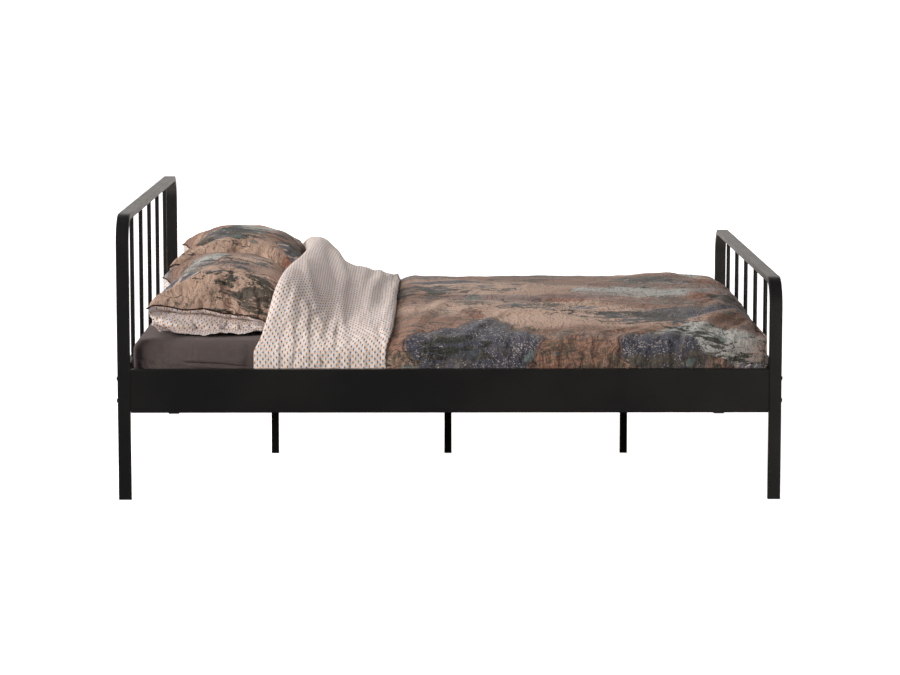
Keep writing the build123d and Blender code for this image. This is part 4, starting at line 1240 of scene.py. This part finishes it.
def pillow_sim(nx, ny, seed):
    """The flat case, blown up by cloth simulation."""
    X, Y = pillow_flat(nx, ny)
    n = nx * ny
    idx = np.arange(n).reshape(nx, ny)
    inner = np.zeros((nx, ny), bool)
    inner[1:-1, 1:-1] = True
    idb = idx.copy()
    idb[inner] = n + np.arange(inner.sum())
    a, b = X / 0.30, Y / 0.35
    Zt = 0.030 * np.maximum(1 - np.abs(a) ** 4, 0) * np.maximum(1 - np.abs(b) ** 4, 0) + 0.0012 * fbm(X * 26, Y * 26, seed, 2) * inner
    Zb = -0.030 * np.maximum(1 - np.abs(a) ** 4, 0) * np.maximum(1 - np.abs(b) ** 4, 0) + 0.0012 * fbm(X * 26, Y * 26, seed + 9, 2) * inner
    top = np.stack([X, Y, np.where(inner, Zt, 0)], -1)
    bot = np.stack([X, Y, np.where(inner, Zb, 0)], -1)
    verts = np.concatenate([top.reshape(-1, 3), bot[inner]])
    ft = np.stack([idx[:-1, :-1], idx[1:, :-1], idx[1:, 1:], idx[:-1, 1:]], -1).reshape(-1, 4)
    fb = np.stack([idb[:-1, :-1], idb[:-1, 1:], idb[1:, 1:], idb[1:, :-1]], -1).reshape(-1, 4)
    ob = make_mesh("sim_pillow", verts, np.concatenate([ft, fb]).tolist())
    md = ob.modifiers.new("cloth", "CLOTH")
    s = md.settings
    s.quality = 6
    s.mass = 0.2
    s.tension_stiffness = 35
    s.compression_stiffness = 6
    s.shear_stiffness = 5
    s.bending_stiffness = 0.12
    s.shrink_min = -0.025
    s.tension_damping = s.compression_damping = s.shear_damping = 8
    s.bending_damping = 1.0
    s.air_damping = 3
    s.use_pressure = True
    s.uniform_pressure_force = 6.5
    s.effector_weights.gravity = 0.0
    md.collision_settings.use_collision = False
    md.collision_settings.use_self_collision = False
    md.point_cache.frame_start = 1
    md.point_cache.frame_end = 40
    return ob, idx, idb, inner


def pillow_result(ob, idx, idb):
    dg = bpy.context.evaluated_depsgraph_get()
    ev = ob.evaluated_get(dg)
    me = ev.to_mesh()
    co = np.empty(len(me.vertices) * 3)
    me.vertices.foreach_get("co", co)
    co = co.reshape(-1, 3)
    ev.to_mesh_clear()
    return co[idx], co[idb]


PN = (61, 71)
sims = [pillow_sim(*PN, sd) for sd in (3, 7)]
for f in range(1, 31):
    sc.frame_set(f)
shapes = [pillow_result(o, i, j) for o, i, j, _ in sims]
for o, *_ in sims:
    bpy.data.objects.remove(o, do_unlink=True)
sc.frame_set(1)

# seam heights at the corners: (head near, head far, foot near, foot far), then crown height
PILLOWS = {
    "left": dict(y=421, seam=(636, 659, 560, 585), crown=737, near=1),
    "right": dict(y=-421, seam=(588, 624, 506, 552), crown=716, near=1),
}


def place_pillow(key, shape):
    cfg = PILLOWS[key]
    top, bot = (rim_rows(finer(finer(s, 3, 0), 8, 1), 3) for s in shape)
    allp = np.concatenate([top.reshape(-1, 3), bot.reshape(-1, 3)])
    lo, hi = allp.min(0), allp.max(0)
    mid = (lo + hi) / 2
    sx, sy = 0.540 / (hi[0] - lo[0]), 0.618 / (hi[1] - lo[1])
    half = max(hi[2], -lo[2])
    hn, hf, fn, ff = cfg["seam"]

    def world(p):
        x = (p[..., 0] - mid[0]) * sx * 1000 - 700
        y = (p[..., 1] - mid[1]) * sy * 1000 + cfg["y"]
        a = np.clip((x + 970) / 540, 0, 1)
        b = np.clip((y - cfg["y"] + 309) / 618, 0, 1)
        zs = (hn * (1 - b) + hf * b) * (1 - a) + (fn * (1 - b) + ff * b) * a
        zs = zs + 9.0 * np.sin(np.pi * a) * (1 - 0.3 * b) + 3.5 * fbm(x / 95, y / 120, 23 if key == "left" else 24, 2)
        ds = spl([-970, -946, -904, -852, -787, -704, -650, -614, -585, -430], [-4, 8, 6, -2, 5, -2, -2, 0, -8, 0], x)
        zs = zs + ds * (np.exp(-((b * 618) / 90.0) ** 2) + 0.8 * np.exp(-(((1 - b) * 618) / 90.0) ** 2))
        return x, y, zs, p[..., 2] / half
    zc = sum(cfg["seam"]) / 4
    xt, yt, zst, tt = world(top)
    xt = xt + 26.0 * np.sin(np.pi * np.clip((xt + 970) / 540, 0, 1)) * np.clip(tt, 0, 1)
    zt = zst + np.where(tt > 0, tt * (cfg["crown"] - zc), tt * 60)
    rs = np.random.RandomState(3 if key == "left" else 4)
    for cx, cy, sgx, sgy in ((-970, cfg["y"] - 309, 1, 1), (-970, cfg["y"] + 309, 1, -1), (-430, cfg["y"] - 309, -1, 1), (-430, cfg["y"] + 309, -1, -1)):
        dx_, dy_ = (xt - cx) * sgx, (yt - cy) * sgy
        rr, th_ = np.hypot(dx_, dy_), np.arctan2(dy_, dx_)
        for ang, dep, wd, reach in ((14, 5.5, 10, 250), (25, -5.0, 9, 210), (34, 7.5, 12, 330), (44, -6.0, 10, 270), (54, 6.0, 11, 230), (66, -4.0, 9, 200), (77, 4.5, 9, 190)):
            a_ = math.radians(ang + rs.uniform(-3, 3))
            side_ = rr * np.sin(th_ - a_) - 6 * np.sin(rr / 60.0 + ang)
            wv = wd * (0.45 + rr / 170.0)
            zt = zt + dep * np.exp(-(side_ / wv) ** 2) * sstep(rr, 12, 70) * (1 - sstep(rr, reach * 0.45, reach)) * np.clip(tt * 6, 0, 1) * (rr * np.cos(th_ - a_) > 0)
    xb, yb, zsb, tb = world(bot)
    fall = np.clip(-tb * 1.9, 0, 1)
    fall = 1 - (1 - fall) ** 1.7
    zb = zsb + np.where(tb < 0, -fall * (zsb - 497), tb * 60)
    # the slack underside creases in below the seam, then bellies out over the sheet
    dn_ = np.minimum(yb - yb.min(), yb.max() - yb)
    sgn = np.sign(yb - cfg["y"])
    xx = (xb + 700) / 270.0
    sd = 5 if key == "left" else 6
    along = sstep(1 - np.abs(xx), 0.02, 0.26)
    line = 0.30 + 0.06 * xx + 0.05 * fbm(xb / 160, np.sign(yb) * 2.0 + 0 * yb, sd, 2)
    rel = np.clip((zsb - zb) / np.maximum(zsb - 499, 20), 0, 1)
    fold_ = np.exp(-((rel - line) / 0.11) ** 2) * np.exp(-(dn_ / 80.0) ** 4) * along
    line2 = 0.66 - 0.22 * xx + 0.10 * fbm(xb / 90, np.sign(yb) * 4.0 + 0 * yb, sd + 40, 2)
    fold2 = np.exp(-((rel - line2) / 0.06) ** 2) * np.exp(-(dn_ / 100.0) ** 4) * along * sstep(xx, -0.7, 0.1)
    line3 = 0.30 + 0.5 * (xx + 0.9)
    fold3 = np.exp(-((rel - line3) / 0.07) ** 2) * np.exp(-(dn_ / 90.0) ** 4) * (1 - sstep(xx, -0.55, -0.15)) * sstep(xx, -0.97, -0.85)
    gat = np.exp(-((xb + 925) / 7.0) ** 2) + 0.8 * np.exp(-((xb + 905) / 6.0) ** 2) + 0.9 * np.exp(-((xb + 478) / 12.0) ** 2)
    gat = gat * np.exp(-(dn_ / 90.0) ** 4) * sstep(rel, 0.05, 0.3)
    belly = sstep(rel, line + 0.06, line + 0.40) * np.exp(-(dn_ / 130.0) ** 4) * along
    sway = 0.85 + 0.35 * fbm(xb / 130, np.sign(yb) * 3.0 + 0 * yb, sd + 20, 2)
    yb = yb + sgn * (-30.0 * fold_ - 8.0 * fold2 - 7.0 * fold3 - 6.0 * gat + 34.0 * belly * sway + 1.5 * fbm(xb / 60, zb / 40, 13, 2) * belly)
    zb = zb - 3.0 * belly * fbm(xb / 90, yb / 70, 15, 2)
    # one narrow crease below the seam, and a fuller head end
    line4 = 0.20 + 0.07 * sstep(xx, -0.9, 0.3) + 0.02 * np.sin(xb / 41.0)
    yb = yb - sgn * 17.0 * np.exp(-((rel - line4) / 0.030) ** 2) * np.exp(-(dn_ / 90.0) ** 4) * sstep(xx, -0.98, -0.85) * (1 - sstep(xx, 0.25, 0.75))
    head_ = np.exp(-((xb - xb.min()) / 70.0) ** 2)
    xb = xb - 13.0 * head_ * sstep(rel, 0.04, 0.42) * (1 - sstep(rel, 0.60, 1.0)) * np.exp(-(dn_ / 150.0) ** 4)
    # the underside lies on the sheet
    k = 7.0
    zb = 501 + k * np.log1p(np.exp(np.clip((zb - 501) / k, -40, 40)))
    T_, B_ = np.stack([xt, yt, zt], -1), np.stack([xb, yb, zb], -1)
    return T_, B_


def under_band(P):
    """Presses points down below the turned-down band, which lies on the pillows' ends."""
    bt = BAND_B.reshape(-1, 3)
    x, y, z = P[..., 0].ravel(), P[..., 1].ravel(), P[..., 2].ravel()
    # nearest band column in x and y by a coarse grid lookup
    gx = np.arange(-640, -380, 8.0)
    gy = np.arange(-905, 906, 12.0)
    H = np.full((len(gx), len(gy)), 1e4)
    ix = np.round((bt[:, 0] - gx[0]) / 8.0).astype(int)
    iy = np.round((bt[:, 1] - gy[0]) / 12.0).astype(int)
    ok = (ix >= 0) & (ix < len(gx)) & (iy >= 0) & (iy < len(gy))
    np.minimum.at(H, (ix[ok], iy[ok]), bt[ok][:, 2])
    for _ in range(1):
        pad = np.pad(H, 1, mode="edge")
        near = np.minimum.reduce([pad[:-2, 1:-1], pad[2:, 1:-1], pad[1:-1, :-2], pad[1:-1, 2:]])
        H = np.where(H > 9e3, near, H)
    jx = np.clip((x - gx[0]) / 8.0, 0, len(gx) - 1.001)
    jy = np.clip((y - gy[0]) / 12.0, 0, len(gy) - 1.001)
    i0, j0 = jx.astype(int), jy.astype(int)
    fx, fy = jx - i0, jy - j0
    h = (H[i0, j0] * (1 - fx) * (1 - fy) + H[i0 + 1, j0] * fx * (1 - fy) + H[i0, j0 + 1] * (1 - fx) * fy + H[i0 + 1, j0 + 1] * fx * fy)
    inside = (x > gx[0]) & (h < 2000)
    z2 = np.where(inside, np.minimum(z, h - 2.0), z)
    Q = P.copy()
    Q[..., 2] = z2.reshape(P.shape[:-1])
    return Q


for key, shape in zip(("left", "right"), shapes):
    T_, B_ = place_pillow(key, shape)
    T_, B_ = under_band(T_), under_band(B_)
    B_[..., 2] = np.minimum(B_[..., 2], T_[..., 2])
    n, m = T_.shape[:2]
    Xf, Yf = (rim_rows(q, 3) for q in pillow_flat(n, (shape[0].shape[1] - 1) * 8 + 1))
    uv = np.stack([Xf + (35.2 if key == "left" else 43.1), Yf + (3.3 if key == "left" else 1.9)], -1)
    ub, vb = arc(B_, 0), arc(B_, 1)
    ub = ub - ub[n // 2][None, :]
    vb = vb - vb[:, m // 2][:, None]
    uvb = np.stack([ub * MM + 5.1, vb * MM + 1.3], -1)
    ob = pad_from_grids("pillow_" + key + "_case", T_ * MM, B_ * MM, uv, [MATS["bedding_print"], MATS["bedding_reverse"]], 1, uvb)
    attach(ob, SET)
    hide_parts("pillow_" + key, "pillowcase_" + key)
    loop = np.concatenate([T_[:, 0], T_[-1, 1:], T_[-2::-1, -1], T_[0, -2:0:-1]])
    # drop repeats
    keep = [0]
    for i in range(1, len(loop)):
        if np.linalg.norm(loop[i] - loop[keep[-1]]) > 0.5:
            keep.append(i)
    pipe = ring_tube("pillow_" + key + "_piping", loop[keep] * MM, 0.0025, MATS["piping"], 8)
    pipe.parent = ob
    # the loose tuck-in flap of the case, spread on the sheet below its outer side
    sg = 1 if key == "left" else -1
    fx = np.linspace(-954, -604, 110)
    edge = spl([-954, -932, -918, -906, -880, -850, -800, -762, -720, -682, -655, -604], [742, 764, 792, 806, 780, 760, 776, 792, 788, 776, 756, 728], fx)
    t_ = np.linspace(0, 1, 12)
    FX, FT = np.meshgrid(fx, t_, indexing="ij")
    FY = 684 + (edge[:, None] - 684) * FT
    kd = 31 if key == "left" else 32
    FY = FY + 7.0 * fbm(FX / 26, FT, kd + 5, 2) * FT
    FZ = 513 - 11 * sstep(FT, 0.0, 0.75) + sstep(FT, 0.3, 1.0) * (4.0 + 7.5 * fbm(FX / 30, FT * 1.3, kd, 2)) + 9.0 * np.exp(-((FX + 912) / 14) ** 2) * sstep(FT, 0.5, 1)
    lip = 16 * np.exp(-((FX + 893) / 20) ** 2) + 9 * np.exp(-((FX + 716) / 42) ** 2) + 10 * np.exp(-((FX + 618) / 20) ** 2)
    FZ = np.maximum(FZ, 501.2 + 2.0 * FT) + lip * sstep(FT, 0.25, 1.0) + 36.0 * (1 - sstep(FX, -954, -908)) * (1 - 0.25 * FT)
    FP = np.stack([FX + 0 * FT, sg * FY, FZ], -1)
    fuv = np.stack([FX * MM + 9.0, FY * MM], -1)
    up_, dn_f = FP.copy(), FP.copy()
    up_[1:-1, 1:-1, 2] += 0.7
    dn_f[1:-1, 1:-1, 2] -= 0.7
    if sg < 0:
        up_, dn_f, fuv = up_[:, ::-1], dn_f[:, ::-1], fuv[:, ::-1]
    flap = pad_from_grids("pillow_" + key + "_flap", up_ * MM, dn_f * MM, fuv, [MATS["bedding_reverse"], MATS["bedding_reverse"]], 1)
    flap.parent = ob

# piping along the foot-end seam of the duvet cover
pts = []
foot = BODY_P[-(BODY_P.shape[0] // 5):]
for yq in np.linspace(-886, 886, 181):
    j = int(np.argmin(np.abs(foot[0, :, 1] - yq)))
    col_ = foot[:, j]
    zt = min(520 - 12 * (yq / 640.0) ** 2 - 34 * sstep(abs(yq), 660, 893), float(col_[:, 2].max()) - 14)
    ok = np.nonzero(col_[:, 2] > zt)[0]
    k = min(int(ok[-1]) + 1, len(col_) - 1)
    w = np.clip((col_[k - 1, 2] - zt) / max(col_[k - 1, 2] - col_[k, 2], 1e-6), 0, 1)
    q = col_[k - 1] * (1 - w) + col_[k] * w
    pts.append((q[0] + 0.6, yq, q[2]))
pts = np.array(pts)
for _ in range(3):
    pts[1:-1] = 0.25 * pts[:-2] + 0.5 * pts[1:-1] + 0.25 * pts[2:]
pts[:, 0] = np.minimum(pts[:, 0], 1005.5)
pipe = ring_tube("duvet_foot_piping", pts * MM, 0.0025, MATS["piping"], 8, closed=False)
pipe.parent = body

# ---------------------------------------------------------------- floor

def floor_mat(name, tint, glow):
    f = Mat(name)
    f.set(color=f.mix(f.noise(f.obj(), 0.7, 2.0, 0.5), (0.90, 0.90, 0.90, 1), (0.92, 0.92, 0.92, 1)), rough=0.95, spec=0.1)
    f.bsdf.inputs["Emission Color"].default_value = tint
    f.bsdf.inputs["Emission Strength"].default_value = glow
    return f


fm = floor_mat("floor_paper", (1, 1, 1, 1), 0.86)
ff = floor_mat("floor_paper_far", (1, 1, 1, 1), 1.0)
fb_ = floor_mat("floor_paper_back", (1, 0.945, 0.895, 1), 0.79)


def paper(name, profile, mat, half=22.0):
    """A strip of seamless studio paper, 44 m wide."""
    me = bpy.data.meshes.new(name)
    pts = []
    for yv, zv in profile:
        pts += [(-half, yv, zv), (half, yv, zv)]
    me.from_pydata(pts, [], [(2 * i, 2 * i + 1, 2 * i + 3, 2 * i + 2) for i in range(len(profile) - 1)])
    for p in me.polygons:
        p.use_smooth = True
    me.materials.append(mat.m)
    o = bpy.data.objects.new(name, me)
    bpy.context.collection.objects.link(o)
    return o


# the floor that is seen, near and far
for o in (paper("floor_near", [(-22, 0), (8, 0)], fm), paper("floor_far", [(-170, -0.006), (170, -0.006)], ff, 170.0)):
    o.visible_glossy = False
    o.visible_diffuse = False
    o.visible_shadow = False
# the pale sweep behind, which only lights the object
back = paper("floor_back", [(0, -0.003), (6, -0.003), (8, 0.12), (9.5, 0.6), (10.6, 1.5), (11.0, 3.0), (11.0, 9.0)], fb_)
back.visible_camera = False
